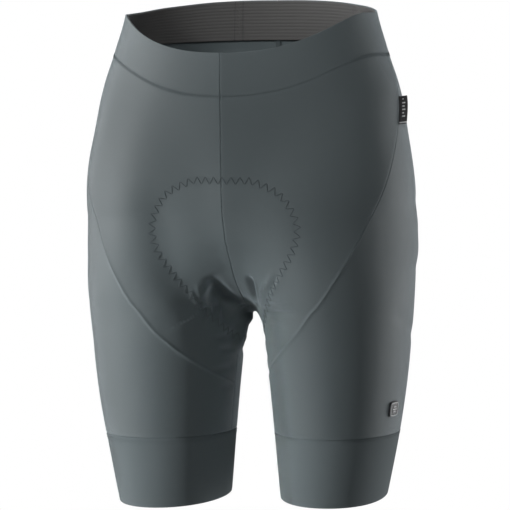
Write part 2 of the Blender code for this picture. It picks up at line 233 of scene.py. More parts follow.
def thigh_field(x, y, z, side):
    highest = THIGH[-1].height
    level = np.minimum(z, highest)
    centre_x, centre_y = thigh_centre(side, level)
    turn = side * THIGH_TURN
    across, along_y = x - centre_x, y - centre_y
    wide, deep = read(THIGH, "half_width", level), read(THIGH, "half_depth", level)
    p = (across * math.cos(turn) + along_y * math.sin(turn)) / wide
    q = (along_y * math.cos(turn) - across * math.sin(turn)) / deep
    over = np.maximum(z - highest, 0) / THIGH_TOP
    return (np.sqrt(p**2 + q**2 + over**2) - 1) * np.minimum(wide, deep)


def field(points):
    """Below 0 inside the cloth and above 0 outside it."""
    x, y, z = points[..., 0], points[..., 1], points[..., 2]
    thighs = bridged(thigh_field(x, y, z, 1), thigh_field(x, y, z, -1), BRIDGE_THIGHS)
    return bridged(body_field(x, y, z), thighs, BRIDGE_BODY)


def unit(ways):
    return ways / np.linalg.norm(ways, axis=-1, keepdims=True)


def outward(points):
    """The direction straight out of the cloth at each point."""
    step = 0.0005
    slope = [field(points + step * axis) - field(points - step * axis) for axis in np.eye(3)]
    return unit(np.stack(slope, axis=-1))


def cast(start, direction, limit):
    """How far along rays from inside the figure the cloth is, or the limit if it is not before."""
    near, far = limit.copy(), limit.copy()
    out = np.zeros(limit.shape, bool)
    for step in range(1, MARCH_STEPS + 1):
        reach = limit * step / MARCH_STEPS
        crossed = (field(start + direction * reach[..., None]) > 0) & ~out
        near[crossed] = (limit * (step - 1) / MARCH_STEPS)[crossed]
        far[crossed] = reach[crossed]
        out |= crossed
    for _ in range(HALVINGS):
        middle = (near + far) / 2
        beyond = field(start + direction * middle[..., None]) > 0
        near, far = np.where(beyond, near, middle), np.where(beyond, middle, far)
    return (near + far) / 2


def settle(points):
    """Points near the cloth moved straight onto it."""
    for _ in range(SETTLE_STEPS):
        points = points - outward(points) * field(points)[..., None]
    return points


def run_along(line):
    """How far each point of a line is along it."""
    steps = np.linalg.norm(np.diff(line, axis=0), axis=1)
    return np.concatenate([[0], np.cumsum(steps)])


def along(line, distance):
    """Points at these distances along a line of points."""
    at = run_along(line)
    return np.stack([np.interp(distance, at, line[:, k]) for k in range(3)], axis=-1)


def length(line):
    return float(run_along(line)[-1])


def centre_line(x):
    """The seam line at this small x, as its front part and its back part, each from the waist."""
    turn = np.linspace(*CENTRE_TURN, CENTRE_SAMPLES)
    direction = np.stack([0 * turn, np.cos(turn), np.sin(turn)], axis=1)
    start = SEAT_MIDDLE + [x, 0, 0]
    line = start + direction * cast(start, direction, np.full(turn.shape, FAR))[:, None]
    lowest = int(np.argmin(line[:, 2]))
    front, back = line[: lowest + 1], line[lowest:][::-1]
    return front[front[:, 2] < -FRONT_DIP], back[back[:, 2] < BACK_RISE]


CENTRE = {side: centre_line(side * HALF_GAP) for side in (1, -1)}


# How far above its plain row the waist edge stands at each share, towards the back
WAIST_RISE = named_rows(
    "share rise",
    (0.00, 0.0),
    (0.44, 0.0),
    (0.50, 0.0),
    (0.56, 0.0014),
    (0.64, 0.0038),
    (0.74, 0.0034),
    (0.86, 0.0026),
    (1.00, 0.0020),
)


def waist_rise(points, shares, levels):
    """Waistband points with the waist edge's own rise, which fades out down the band."""
    rise = read(WAIST_RISE, "rise", shares) * eased(1 - levels / WAISTBAND_DEPTH)
    return points + rise[..., None] * [0, 0, 1]


def dip_at(level):
    between = (level - CROTCH_LEVEL) / (BAND_LEVEL - CROTCH_LEVEL)
    below = (level - BAND_LEVEL) / (HEM_LEVEL - BAND_LEVEL)
    return BAND_DIP * eased(between) + (HEM_DIP - BAND_DIP) * eased(below)


def row_axis(side, levels):
    """The points inside the half garment that the rows at these levels turn about."""
    thigh_x, thigh_y = thigh_centre(side, np.minimum(-levels, THIGH[-1].height))
    share = eased(levels / CROTCH_LEVEL)
    x = (1 - share) * side * WAIST_AXIS_X + share * thigh_x
    return np.stack([x, share * thigh_y, -levels], axis=-1)


def row_ends(side, level, axis):
    """Where a row starts and stops: on the centre seam, and below the crotch on the inseam."""
    crotch = CENTRE[side][0][-1]
    if level <= CROTCH_LEVEL:
        share = level / CROTCH_LEVEL
        return [along(line, share * (length(line) - HALF_GAP)) for line in CENTRE[side]]
    left = 1 - min((level - CROTCH_LEVEL) / INSEAM_REACH, 1)
    drop = (crotch[2] + CROTCH_LEVEL) * left**2
    end_y = axis[1] + (crotch[1] - axis[1]) * left**2
    return [np.array([side * HALF_GAP, end_y, drop - level])] * 2


def make_rows(side, levels):
    """The cloth's lines at these levels, each from its front seam to its back seam."""
    axis = row_axis(side, levels)
    arms = np.array([row_ends(side, level, at) for level, at in zip(levels, axis)]) - axis[:, None]
    ends = np.arctan2(arms[..., 1], arms[..., 0] * side)
    first = (ends[:, 0] - np.where(ends[:, 0] > 0, 2 * math.pi, 0))[:, None]
    last = (ends[:, 1] + np.where(ends[:, 1] < 0, 2 * math.pi, 0))[:, None]
    angle = first + (last - first) * np.linspace(0, 1, ROW_SAMPLES)
    start_pull = eased(1 - (angle - first) / (END_REACH * -first))
    stop_pull = eased(1 - (last - angle) / (END_REACH * last))
    way = np.stack([side * np.cos(angle), np.sin(angle), 0 * angle], axis=-1)
    inward = np.minimum(side * way[..., 0], -1e-6)
    limit = np.where(inward < -0.01, (side * axis[:, :1] - HALF_GAP) / -inward, FAR)
    limit = np.minimum(limit, FAR)
    flat_arms = np.hypot(arms[..., 0], arms[..., 1])
    reach = cast(axis[:, None], way, limit)
    reach += (flat_arms[:, :1] - reach[:, :1]) * start_pull
    reach += (flat_arms[:, 1:] - reach[:, -1:]) * stop_pull
    dip = dip_at(levels)[:, None] * np.sin(angle)
    rise = arms[:, 0, 2:] * start_pull + arms[:, 1, 2:] * stop_pull + dip
    way[..., 2] = rise / reach
    return axis[:, None] + way * cast(axis[:, None], way, limit)[..., None]


ROWS = {}


def rows_at(side, levels):
    """The rows at these levels, each worked out once."""
    wanted = [round(float(level), 6) for level in levels]
    missing = sorted({level for level in wanted if (side, level) not in ROWS})
    if missing:
        for level, line in zip(missing, make_rows(side, np.array(missing))):
            ROWS[(side, level)] = line
    return [ROWS[(side, level)] for level in wanted]


def place(side, level, share):
    """Points of the cloth's outer face at one level, at these shares of its row."""
    line = rows_at(side, [level])[0]
    trim = 0 if level <= CROTCH_LEVEL else HALF_GAP
    return along(line, trim + np.asarray(share) * (length(line) - 2 * trim))


def places(side, levels, shares):
    """Points of the cloth's outer face, one or a row of them at each level."""
    rows_at(side, levels)
    return np.array([place(side, level, share) for level, share in zip(levels, shares)])


def diagonal_turn(level):
    return np.radians(read(DIAGONAL, "turn", np.asarray(level, float)))


def diagonal_share(side, level):
    """The share of the row where the diagonal seam crosses it."""
    if level >= DIAGONAL_END:
        return 0.0
    line = rows_at(side, [level])[0]
    arm = line - row_axis(side, np.array(level))
    turn = np.unwrap(np.arctan2(arm[:, 1], side * arm[:, 0]))
    turn -= 2 * math.pi if turn[0] > 0 else 0
    at = run_along(line)
    return float(np.interp(-diagonal_turn(level), turn, at) / at[-1])


def diagonal_slant(side, level):
    """How far the diagonal seam moves along the row for each metre down."""
    step = 0.001
    foot = place(side, level, diagonal_share(side, level))
    reach = float(np.linalg.norm(foot - row_axis(side, np.array(level))))
    return float(diagonal_turn(level + step) - diagonal_turn(level - step)) * reach / (2 * step)


# Distances from a seam at which cloth has a row of points, before the even rows begin
SEAM_STEPS = (0.0, 0.0004, 0.0008, 0.0013, 0.0020, 0.0030)


def graded(start, stop, step):
    """Even places from start to stop, closer together beside the seams at both ends."""
    near = np.array(SEAM_STEPS)
    count = max(int(round((stop - start - 2 * near[-1]) / step)), 1)
    middle = np.linspace(start + near[-1], stop - near[-1], count + 1)
    return np.concatenate([start + near[:-1], middle, stop - near[:-1][::-1]])


# The seams' marks in the cloth: a sharp seam pulls both edges in, a soft one hardly does, and the
# diagonal seam turns from sharp to a fine raised edge on its way down
SHARP_DEPTH = 0.0003
SHARP_REACH = 0.0006
SOFT_DEPTH = 0.00012
SOFT_REACH = 0.0014
EDGE_HEIGHT = 0.0005
EDGE_REACH = 0.0016
EDGE_FROM = 0.190
EDGE_FULL = 0.260


def sharp(distance):
    return -SHARP_DEPTH * np.exp(-distance / SHARP_REACH)


def soft(distance):
    return -SOFT_DEPTH * np.exp(-distance / SOFT_REACH)


def diagonal_edge(distance, levels):
    share = eased((levels - EDGE_FROM) / (EDGE_FULL - EDGE_FROM))
    return (1 - share) * sharp(distance) + share * EDGE_HEIGHT * bell(distance, EDGE_REACH)


# A patch of cloth: its points and its outward directions in rows and columns, the distance of each
# point from the nearest seam, how far the seams lift it, and its distances round the row and down
# the side for the knit
Patch = namedtuple("Patch", "points out seam lift round down")


def make_patch(side, levels, shares, seam, lift):
    """A patch from its levels and its shares at each level."""
    points = places(side, levels, shares)
    around = [share * length(rows_at(side, [level])[0]) for level, share in zip(levels, shares)]
    down = np.repeat(np.asarray(levels)[:, None], points.shape[1], axis=1)
    return Patch(points, outward(points), seam, lift, np.array(around), down)


def diagonal_edges(side, levels):
    """For each level, the share at the diagonal seam, its slant, and the length of the row."""
    rows_at(side, levels)
    found = []
    for level in levels:
        share = diagonal_share(side, level)
        slant = math.hypot(1, diagonal_slant(side, level)) if share > 0 else 1.0
        found.append((share, slant, length(rows_at(side, [level])[0])))
    return np.array(found).T[:, :, None]


def front_patch(side, step):
    """A front: its columns run from the centre front seam to the diagonal seam."""
    top = WAISTBAND_DEPTH
    levels = np.array([level for level in graded(top, BAND_LEVEL, step) if level < FRONT_POINT])
    levels = np.append(levels, FRONT_POINT)
    edges, slants, rounds = diagonal_edges(side, levels)
    edges = edges - HALF_GAP * slants / rounds
    widest = graded(0, float((edges * rounds).max()), step)
    shares = edges * widest / widest[-1]
    from_front = shares * rounds
    from_diagonal = (edges - shares) * rounds / slants
    from_top = (levels - top)[:, None]
    seam = np.minimum(np.minimum(from_front, from_diagonal), from_top)
    lift = sharp(from_front) + diagonal_edge(from_diagonal, levels[:, None]) + soft(from_top)
    return make_patch(side, levels, shares, seam, lift)


def leg_patch(side, step):
    """A leg panel: from the diagonal seam, and below it the inseam, round to the back seam."""
    top, bottom = WAISTBAND_DEPTH, BAND_LEVEL - HALF_GAP
    levels = graded(top, bottom, step)
    edges, slants, rounds = diagonal_edges(side, levels)
    edges = edges + np.where(edges > 0, HALF_GAP * slants / rounds, 0)
    widest = graded(0, float(((1 - edges) * rounds).max()), step)
    shares = edges + (1 - edges) * widest / widest[-1]
    from_edge = (shares - edges) * rounds / slants
    from_back = (1 - shares) * rounds
    from_ends = np.minimum(levels - top, bottom - levels)[:, None]
    seam = np.minimum(np.minimum(from_edge, from_back), from_ends)
    below = levels[:, None] > DIAGONAL_END
    at_edge = np.where(below, sharp(from_edge), diagonal_edge(from_edge, levels[:, None]))
    lift = at_edge + sharp(from_back) + soft(from_ends)
    return make_patch(side, levels, shares, seam, lift)


def waistband_patch(side, step):
    levels = graded(0, WAISTBAND_DEPTH, step)
    around = length(rows_at(side, [WAISTBAND_DEPTH])[0])
    columns = graded(0, around, step) / around
    shares = np.repeat(columns[None], len(levels), axis=0)
    from_ends = np.minimum(shares, 1 - shares) * around
    from_line = (WAISTBAND_DEPTH - levels)[:, None]
    lift = sharp(from_ends) + soft(from_line) + soft(levels)[:, None]
    patch = make_patch(side, levels, shares, np.minimum(from_ends, from_line), lift)
    return patch._replace(points=waist_rise(patch.points, shares, levels[:, None]))


# A leg band lies in from the leg panel, and its hem turns in
BAND_STEP = 0.0006
BAND_STEP_REACH = 0.004


def band_patch(side, step):
    """A leg band, whose last column is its first again, so that it closes into a tube."""
    top = BAND_LEVEL + HALF_GAP
    levels = graded(top, HEM_LEVEL, step)
    around = length(rows_at(side, [BAND_LEVEL])[0])
    shares = np.repeat(np.linspace(0, 1, int(around / step))[None], len(levels), axis=0)
    seam = np.repeat((levels - top)[:, None], shares.shape[1], axis=1)
    to_hem = (HEM_LEVEL - levels)[:, None] + 0 * seam
    lift = sharp(seam) + soft(to_hem) - BAND_STEP * eased(1 - seam / BAND_STEP_REACH)
    patch = make_patch(side, levels, shares, np.minimum(seam, to_hem), lift)
    patch.points[:, 0] = patch.points[:, -1] = (patch.points[:, 0] + patch.points[:, -1]) / 2
    return patch


# The relief of the cloth, all of it along the outward direction

# The cloth's two halves meet at the centre front in a soft ridge, and so do the panels at the
# diagonal seam
KEEL = 0.0036
KEEL_REACH = 0.036
KEEL_FADE_FROM = 0.215
KEEL_END = 0.250
KEEL_FRONT = 0.04
SIDE_KEEL = 0.0018
SIDE_KEEL_REACH = 0.020
# How soon the ridge at the diagonal seam is full at its top and at its foot, in shares of the seam
SIDE_KEEL_TOP = 1 / 12
SIDE_KEEL_FOOT = 1 / 5

# The seat pad puffs the cloth out inside its outline and pulls it in along its stitches
PUFF = 0.0004
PUFF_REACH = 0.018
PUFF_EDGE = 0.003
PUFF_AT_ONCE = 4000
QUILT = 0.00026
QUILT_REACH = 0.0040

# A soft trough or ridge between two places. It bows by a share of the row at its middle, is as wide
# as its width on each side, and a depth above 0 stands out of the cloth
FOLDS = named_rows(
    "side level share to_level to_share bow width depth",
    # The fullness of the hips, and the flatter front between them
    (1, 0.185, 0.53, 0.255, 0.53, 0, 0.034, 0.0036),
    (-1, 0.190, 0.50, 0.250, 0.50, 0, 0.034, 0.0022),
    (-1, 0.0, 0.365, 0.330, 0.400, 0, 0.026, 0.0056),
    (-1, 0.240, 0.372, 0.440, 0.360, 0, 0.020, 0.0036),
    (1, 0.070, 0.350, 0.200, 0.380, 0, 0.030, 0.0018),
    # The valley along the pad on the wearer's right
    (-1, 0.120, 0.156, 0.335, 0.122, 0, 0.021, -0.0060),
    # The hollow beside the crotch, on the wearer's right, and the folds round it
    (-1, 0.226, 0.064, 0.292, 0.043, 0, 0.0078, -0.0090),
    (-1, 0.248, 0.078, 0.308, 0.070, 0, 0.0100, -0.0086),
    (-1, 0.234, 0.030, 0.272, 0.002, 0.001, 0.0034, 0.0018),
    (-1, 0.238, 0.092, 0.290, 0.118, 0.004, 0.0028, 0.0016),
    (-1, 0.246, 0.101, 0.304, 0.126, 0.003, 0.0024, -0.0012),
    (-1, 0.242, 0.110, 0.288, 0.134, 0, 0.0026, 0.0011),
    (-1, 0.264, 0.098, 0.310, 0.120, 0, 0.0024, 0.0012),
    # The fullness between the legs
    (-1, 0.272, 0.0, 0.310, 0.0, 0, 0.0100, 0.0050),
    (-1, 0.290, 0.990, 0.341, 0.990, 0, 0.0090, 0.0042),
    (-1, 0.290, 0.010, 0.341, 0.010, 0, 0.0090, 0.0042),
    (1, 0.292, 0.990, 0.318, 0.990, 0, 0.0070, 0.0020),
    (1, 0.292, 0.010, 0.318, 0.010, 0, 0.0070, 0.0020),
    # The wearer's left of the crotch
    (1, 0.226, 0.042, 0.276, 0.046, 0, 0.0042, -0.0056),
    (1, 0.270, 0.064, 0.228, 0.052, 0, 0.0024, 0.0014),
    (1, 0.278, 0.064, 0.218, 0.120, -0.004, 0.0042, 0.0018),
    (1, 0.266, 0.090, 0.212, 0.150, 0.004, 0.0040, 0.0010),
    (1, 0.262, 0.082, 0.222, 0.130, 0.002, 0.0026, -0.0008),
    (1, 0.271, 0.090, 0.279, 0.200, 0, 0.0030, -0.0007),
    (1, 0.285, 0.090, 0.291, 0.210, 0, 0.0034, -0.0008),
    (1, 0.302, 0.100, 0.306, 0.190, 0, 0.0030, -0.0006),
    # The inner legs
    (-1, 0.318, 0.0, 0.321, 0.100, 0, 0.0036, -0.0012),
    (-1, 0.334, 0.0, 0.332, 0.080, 0, 0.0032, -0.0010),
    (-1, 0.351, 0.0, 0.354, 0.110, 0, 0.0040, -0.0011),
    (-1, 0.372, 0.0, 0.370, 0.070, 0, 0.0034, -0.0008),
    (1, 0.322, 0.0, 0.320, 0.110, 0, 0.0036, -0.0012),
    (1, 0.337, 0.0, 0.341, 0.090, 0, 0.0032, -0.0010),
    (1, 0.358, 0.0, 0.356, 0.120, 0, 0.0038, -0.0010),
    # Under the seat and round the back of the legs
    (1, 0.292, 0.990, 0.322, 0.800, 0.014, 0.0056, -0.0034),
    (1, 0.322, 0.975, 0.337, 0.840, 0.006, 0.0042, -0.0018),
    (1, 0.250, 0.975, 0.300, 0.890, 0, 0.0052, -0.0022),
    (1, 0.356, 0.660, 0.345, 0.900, 0.004, 0.0046, -0.0016),
    (1, 0.396, 0.610, 0.384, 0.820, 0, 0.0040, -0.0013),
    (1, 0.125, 0.945, 0.200, 0.770, 0, 0.0100, -0.0022),
    (1, 0.056, 0.680, 0.078, 0.880, 0, 0.0066, -0.0014),
    (1, 0.292, 0.390, 0.330, 0.590, 0.010, 0.0066, -0.0013),
    (1, 0.170, 0.640, 0.205, 0.540, 0, 0.0090, -0.0012),
    (-1, 0.296, 0.990, 0.331, 0.770, 0.016, 0.0062, -0.0038),
    (-1, 0.335, 0.970, 0.344, 0.870, 0, 0.0038, -0.0016),
    (-1, 0.256, 0.980, 0.310, 0.915, 0, 0.0044, -0.0024),
    (-1, 0.361, 0.620, 0.370, 0.860, 0.004, 0.0048, -0.0018),
    (-1, 0.404, 0.700, 0.394, 0.860, 0, 0.0038, -0.0012),
    (-1, 0.100, 0.925, 0.186, 0.710, 0, 0.0110, -0.0024),
    (-1, 0.049, 0.600, 0.065, 0.760, 0, 0.0060, -0.0012),
    (-1, 0.322, 0.380, 0.354, 0.570, 0.010, 0.0064, -0.0013),
    (-1, 0.150, 0.620, 0.190, 0.530, 0, 0.0090, -0.0012),
)
FOLD_POINTS = 15
# How far from a fold's line it still shows, in widths
FOLD_SHOWS = 3


def fold_lines():
    """Each fold with its line on the cloth."""
    t = np.linspace(0, 1, FOLD_POINTS)
    found = []
    for fold in FOLDS:
        levels = fold.level + (fold.to_level - fold.level) * t
        shares = fold.share + (fold.to_share - fold.share) * t + fold.bow * 4 * t * (1 - t)
        found.append((levels, shares))
    for side in (1, -1):
        rows_at(side, [level for fold, at in zip(FOLDS, found) if fold.side == side for level in at[0]])
    return [
        (fold, places(fold.side, levels, shares)) for fold, (levels, shares) in zip(FOLDS, found)
    ]


def near_line(points, line, reach):
    """How far points are from a line, and the share of the line at which each is nearest."""
    best = np.full(len(points), np.inf)
    where = np.zeros(len(points))
    inside = ((points > line.min(axis=0) - reach) & (points < line.max(axis=0) + reach)).all(axis=1)
    near = points[inside]
    gaps, nearest = best[inside], where[inside]
    for k, (a, b) in enumerate(zip(line[:-1], line[1:])):
        way = b - a
        t = np.clip((near - a) @ way / (way @ way), 0, 1)
        gap = np.linalg.norm(near - a - t[:, None] * way, axis=1)
        closer = gap < gaps
        gaps[closer] = gap[closer]
        nearest[closer] = ((k + t) / (len(line) - 1))[closer]
    best[inside], where[inside] = gaps, nearest
    return best, where


def fold_relief(points):
    total = np.zeros(len(points))
    for fold, line in kept("folds", fold_lines):
        gap, where = near_line(points, line, FOLD_SHOWS * fold.width)
        total += fold.depth * eased(4 * where * (1 - where)) * bell(gap, fold.width)
    return total


def diagonal_line(side, start=WAISTBAND_DEPTH, stop=FRONT_POINT, step=0.004):
    levels = np.linspace(start, stop, int((stop - start) / step) + 1)
    rows_at(side, levels)
    return places(side, levels, [diagonal_share(side, level) for level in levels])


def keel_relief(points):
    x, y, z = points.T
    fade = eased(1 - (-z - KEEL_FADE_FROM) / (KEEL_END - KEEL_FADE_FROM))
    total = KEEL * np.exp(-np.abs(x) / KEEL_REACH) * fade * eased(-y / KEEL_FRONT)
    for side in (1, -1):
        line = kept(("diagonal", side), lambda: diagonal_line(side))
        gap, where = near_line(points, line, 5 * SIDE_KEEL_REACH)
        fade = eased(where / SIDE_KEEL_TOP) * eased((1 - where) / SIDE_KEEL_FOOT)
        total += SIDE_KEEL * np.exp(-gap / SIDE_KEEL_REACH) * fade
    return total


def walk(points, way, distances):
    """Points at these distances along the straightest lines over the cloth from each point."""
    distances = np.asarray(distances)
    steps = int(math.ceil(distances.max() / WALK_STEP))
    path = [points]
    for _ in range(steps):
        normal = outward(points)
        way = unit(way - normal * (way * normal).sum(axis=1, keepdims=True))
        ahead = settle(points + way * WALK_STEP)
        way, points = ahead - points, ahead
        path.append(points)
    path = np.array(path)
    return np.array([along(path[:, i], distances[i]) for i in range(len(distances))])


def pad_grid(rows, columns):
    """The pad's place on the smooth cloth: a row for each run, from its right to its left."""
    front, back = centre_line(0.0)
    line = np.concatenate([front, back[-2::-1]])
    runs = np.linspace(0, PAD[-1].run, rows)
    start = settle(along(line, PAD_START + runs))
    width = read(PAD, "half_width", runs)
    share = np.linspace(0, 1, columns // 2 + 1)
    way = np.tile([1.0, 0, 0], (rows, 1))
    left = walk(start, way, width[:, None] * share)
    right = walk(start, -way, width[:, None] * share)
    return np.concatenate([right[:, :0:-1], left], axis=1), runs


PAD_ROWS = 101
PAD_COLUMNS = 49


def pad_points():
    return kept("pad", lambda: pad_grid(PAD_ROWS, PAD_COLUMNS)[0])


def pad_outline():
    """The pad's edge, once round, with its first point again at the end."""
    grid = pad_points()
    edge = [grid[0], grid[1:, -1], grid[-1, -2::-1], grid[-2:0:-1, 0], grid[0, :1]]
    return spaced(np.concatenate(edge), 0.006)


def pad_relief(points):
    """The cloth's puff over the pad, and its pull along the pad's stitches."""
    outline = kept("pad edge", pad_outline)
    reach = 4 * PUFF_REACH
    gap, _ = near_line(points, outline, reach)
    gap = np.minimum(gap, reach)
    middle = pad_points()[4:-4:4, 3:-3:3].reshape(-1, 3)
    low, high = middle.min(axis=0) - reach, middle.max(axis=0) + reach
    total = np.zeros(len(points))
    near = ((points > low) & (points < high)).all(axis=1)
    inside = np.zeros(near.sum(), bool)
    for start in range(0, len(inside), PUFF_AT_ONCE):
        part = slice(start, start + PUFF_AT_ONCE)
        nearest = np.linalg.norm(points[near][part, None] - middle, axis=2).min(axis=1)
        inside[part] = nearest < gap[near][part] + PUFF_EDGE
    total[near] = PUFF * eased(gap[near] / PUFF_REACH) * inside
    return total - QUILT * bell(gap, QUILT_REACH)


def relief(points):
    """All the relief that the cloth and the stitches on it share."""
    flat = points.reshape(-1, 3)
    total = keel_relief(flat) + pad_relief(flat) + fold_relief(flat)
    return total.reshape(points.shape[:-1])


def on_cloth(points, lift=0.0):
    """Points near the cloth, moved onto its relief and then out by the lift."""
    points = settle(np.asarray(points))
    return points + outward(points) * (relief(points) + lift)[..., None]


def spaced(path, step, closed=False):
    """A path with its points evenly a step apart."""
    total = length(path)
    count = max(2 * int(round(total / step / 2)), 2)
    at = np.linspace(0, total, count + 1)
    return along(path, at[:-1] if closed else at)


def across_path(path, closed=False):
    """At each point of a path over the cloth, the direction in the cloth across it."""
    if closed:
        way = np.roll(path, -1, axis=0) - np.roll(path, 1, axis=0)
    else:
        way = np.gradient(path, axis=0)
    return unit(np.cross(outward(path), way))


# Meshes and pieces


def grid_mesh(points, wrap=False):
    """A bmesh of faces through a grid of points. Its vertices keep their numbers."""
    rows, columns = points.shape[:2]
    bm = bmesh.new()
    bmesh.ops.create_grid(bm, x_segments=columns - 1, y_segments=rows - 1, size=0.5)
    number = bm.verts.layers.int.new("number")
    for k, (vert, point) in enumerate(zip(bm.verts, points.reshape(-1, 3))):
        vert.co = point
        vert[number] = k
    if wrap:
        bmesh.ops.remove_doubles(bm, verts=bm.verts[:], dist=1e-6)
    return bm


def to_mesh(name, bm):
    mesh = bpy.data.meshes.new(name)
    bm.to_mesh(mesh)
    bm.free()
    mesh.shade_smooth()
    return mesh


def sheet_mesh(name, points, out, wrap=False):
    """A mesh through a grid of points, whose faces point along these directions."""
    bm = grid_mesh(points, wrap)
    bm.normal_update()
    bm.faces.ensure_lookup_table()
    face = bm.faces[len(bm.faces) // 2]
    number = face.verts[0][bm.verts.layers.int["number"]]
    out = np.broadcast_to(out, points.shape).reshape(-1, 3)
    if face.normal.dot(Vector(out[number])) < 0:
        bmesh.ops.reverse_faces(bm, faces=bm.faces[:])
    return to_mesh(name, bm)


# What cloth with no seam near it gives as its distance from one
NO_SEAM = 0.02


def add_maps(mesh, across, down, seam=NO_SEAM):
    """What the knit reads at each vertex's number: its UV map in metres, and how near a seam is."""
    number = np.zeros(len(mesh.vertices), np.int32)
    mesh.attributes["number"].data.foreach_get("value", number)
    vertex = np.zeros(len(mesh.loops), np.int32)
    mesh.loops.foreach_get("vertex_index", vertex)
    across, down, seam = (values.ravel() for values in np.broadcast_arrays(across, down, seam))
    uv = np.stack([across, down], axis=1)[number[vertex]]
    layer = mesh.uv_layers.new(name="cloth")
    layer.uv.foreach_set("vector", uv.astype(np.float32).ravel())
    layer = mesh.attributes.new("seam", "FLOAT", "POINT")
    layer.data.foreach_set("value", seam[number].astype(np.float32))


def add_object(name, data):
    made = bpy.data.objects.new(name, data)
    bpy.context.scene.collection.objects.link(made)
    return made


def add_piece(name, mesh, finish, node=None):
    """The mesh as a piece of the shorts, which may stand for a node of the frame."""
    mesh.materials.clear()
    mesh.materials.append(finish)
    piece = add_object(name, mesh)
    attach(piece, "root")
    if node:
        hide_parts(node)
    return piece


def add_wall(piece, thickness):
    """Gives a sheet its thickness, on its inner side."""
    wall = piece.modifiers.new("wall", "SOLIDIFY")
    wall.thickness = thickness
    wall.offset = -1
    wall.use_rim = True
    wall.use_quality_normals = True


def cloth_piece(node, patch, finish, wrap=False):
    """A cloth panel: the patch with its relief, its seams' marks and its thickness."""
    lift = relief(patch.points) + patch.lift
    points = patch.points + patch.out * lift[..., None]
    mesh = sheet_mesh(f"{node}_cloth", points, patch.out, wrap)
    add_maps(mesh, patch.round, patch.down, patch.seam)
    piece = add_piece(f"{node}_cloth", mesh, finish, node=node)
    add_wall(piece, CLOTH)


# Where a stitch dips and rises between its two ends, as shares of its length and of its thickness
STITCH = ((0.0, -1.4), (0.14, 0.4), (0.5, 1.0), (0.86, 0.4), (1.0, -1.4))


def strokes(starts, ends, radius):
    """A stitch over the cloth from each start to each end."""
    share, rise = np.array(STITCH).T
    points = starts[:, None] * (1 - share[:, None]) + ends[:, None] * share[:, None]
    return on_cloth(points, rise * radius)


def zigzag(path, pitch, width, radius):
    """Stitches from side to side along a closed path."""
    points = spaced(path, pitch / 2, closed=True)
    sway = np.where(np.arange(len(points)) % 2, 0.5, -0.5)[:, None] * width
    corners = points + across_path(points, closed=True) * sway
    return strokes(corners, np.roll(corners, -1, axis=0), radius)


def rungs(path, pitch, reach, radius, lean):
    """Stitches across an open path, each from one side of it to the other."""
    points = spaced(path, pitch)
    side = across_path(points)
    way = np.roll(points, -1, axis=0) - points
    way[-1] = way[-2]
    return strokes(points - side * reach, points + side * reach + way * lean, radius)


def running(path, pitch, offset, radius):
    """A line of stitches beside a closed path."""
    points = spaced(path, pitch, closed=True)
    points = points + across_path(points, closed=True) * offset
    return strokes(points, np.roll(points, -1, axis=0), radius)


def threads(name, paths, radius, finish, closed=False):
    """Threads or cords of one thickness along lines of points, as one mesh."""
    curve = bpy.data.curves.new(name, "CURVE")
    curve.dimensions = "3D"
    curve.bevel_depth = radius
    curve.bevel_resolution = 1
    curve.use_fill_caps = not closed
    for path in paths:
        spline = curve.splines.new("POLY")
        spline.points.add(len(path) - 1)
        spline.use_cyclic_u = closed
        for point, at in zip(spline.points, path):
            point.co = (*at, 1)
    rope = add_object(name, curve)
    bpy.context.view_layer.update()
    mesh = bpy.data.meshes.new_from_object(rope.evaluated_get(bpy.context.evaluated_depsgraph_get()))
    bpy.data.objects.remove(rope)
    bpy.data.curves.remove(curve)
    mesh.name = name
    mesh.shade_smooth()
    add_piece(name, mesh, finish)


# Materials


def new_group(name, inputs, outputs):
    """A shader node group with these inputs, each with its default, and its two end nodes."""
    group = bpy.data.node_groups.new(name, "ShaderNodeTree")
    for label, default in inputs.items():
        kind = "NodeSocketColor" if isinstance(default, tuple) else "NodeSocketFloat"
        socket = group.interface.new_socket(name=label, in_out="INPUT", socket_type=kind)
        socket.default_value = default
    for label, kind in outputs.items():
        group.interface.new_socket(name=label, in_out="OUTPUT", socket_type=kind)
    return group, add_node(group, "NodeGroupInput"), add_node(group, "NodeGroupOutput")


def add_node(tree, kind, **settings):
    node = tree.nodes.new(kind)
    for key, value in settings.items():
        setattr(node, key, value)
    return node


def feed(tree, value, socket):
    """Gives a socket a value, or the output of another node."""
    if isinstance(value, bpy.types.NodeSocket):
        tree.links.new(value, socket)
    elif value is not None:
        socket.default_value = value


def maths(tree, operation, first, second=None, third=None):
    """A math node on these values or sockets, and its output."""
    node = add_node(tree, "ShaderNodeMath", operation=operation)
    for socket, value in zip(node.inputs, (first, second, third)):
        feed(tree, value, socket)
    return node.outputs[0]


def shaded(tree, colour, share):
    """A colour made lighter or darker by a share."""
    node = add_node(tree, "ShaderNodeVectorMath", operation="SCALE")
    feed(tree, colour, node.inputs[0])
    feed(tree, share, node.inputs["Scale"])
    return node.outputs[0]


def noise(tree, scale, detail):
    """Noise on the piece's own coordinates."""
    node = add_node(tree, "ShaderNodeTexNoise")
    feed(tree, scale, node.inputs["Scale"])
    feed(tree, detail, node.inputs["Detail"])
    feed(tree, add_node(tree, "ShaderNodeTexCoord").outputs["Object"], node.inputs["Vector"])
    return node.outputs["Fac"]


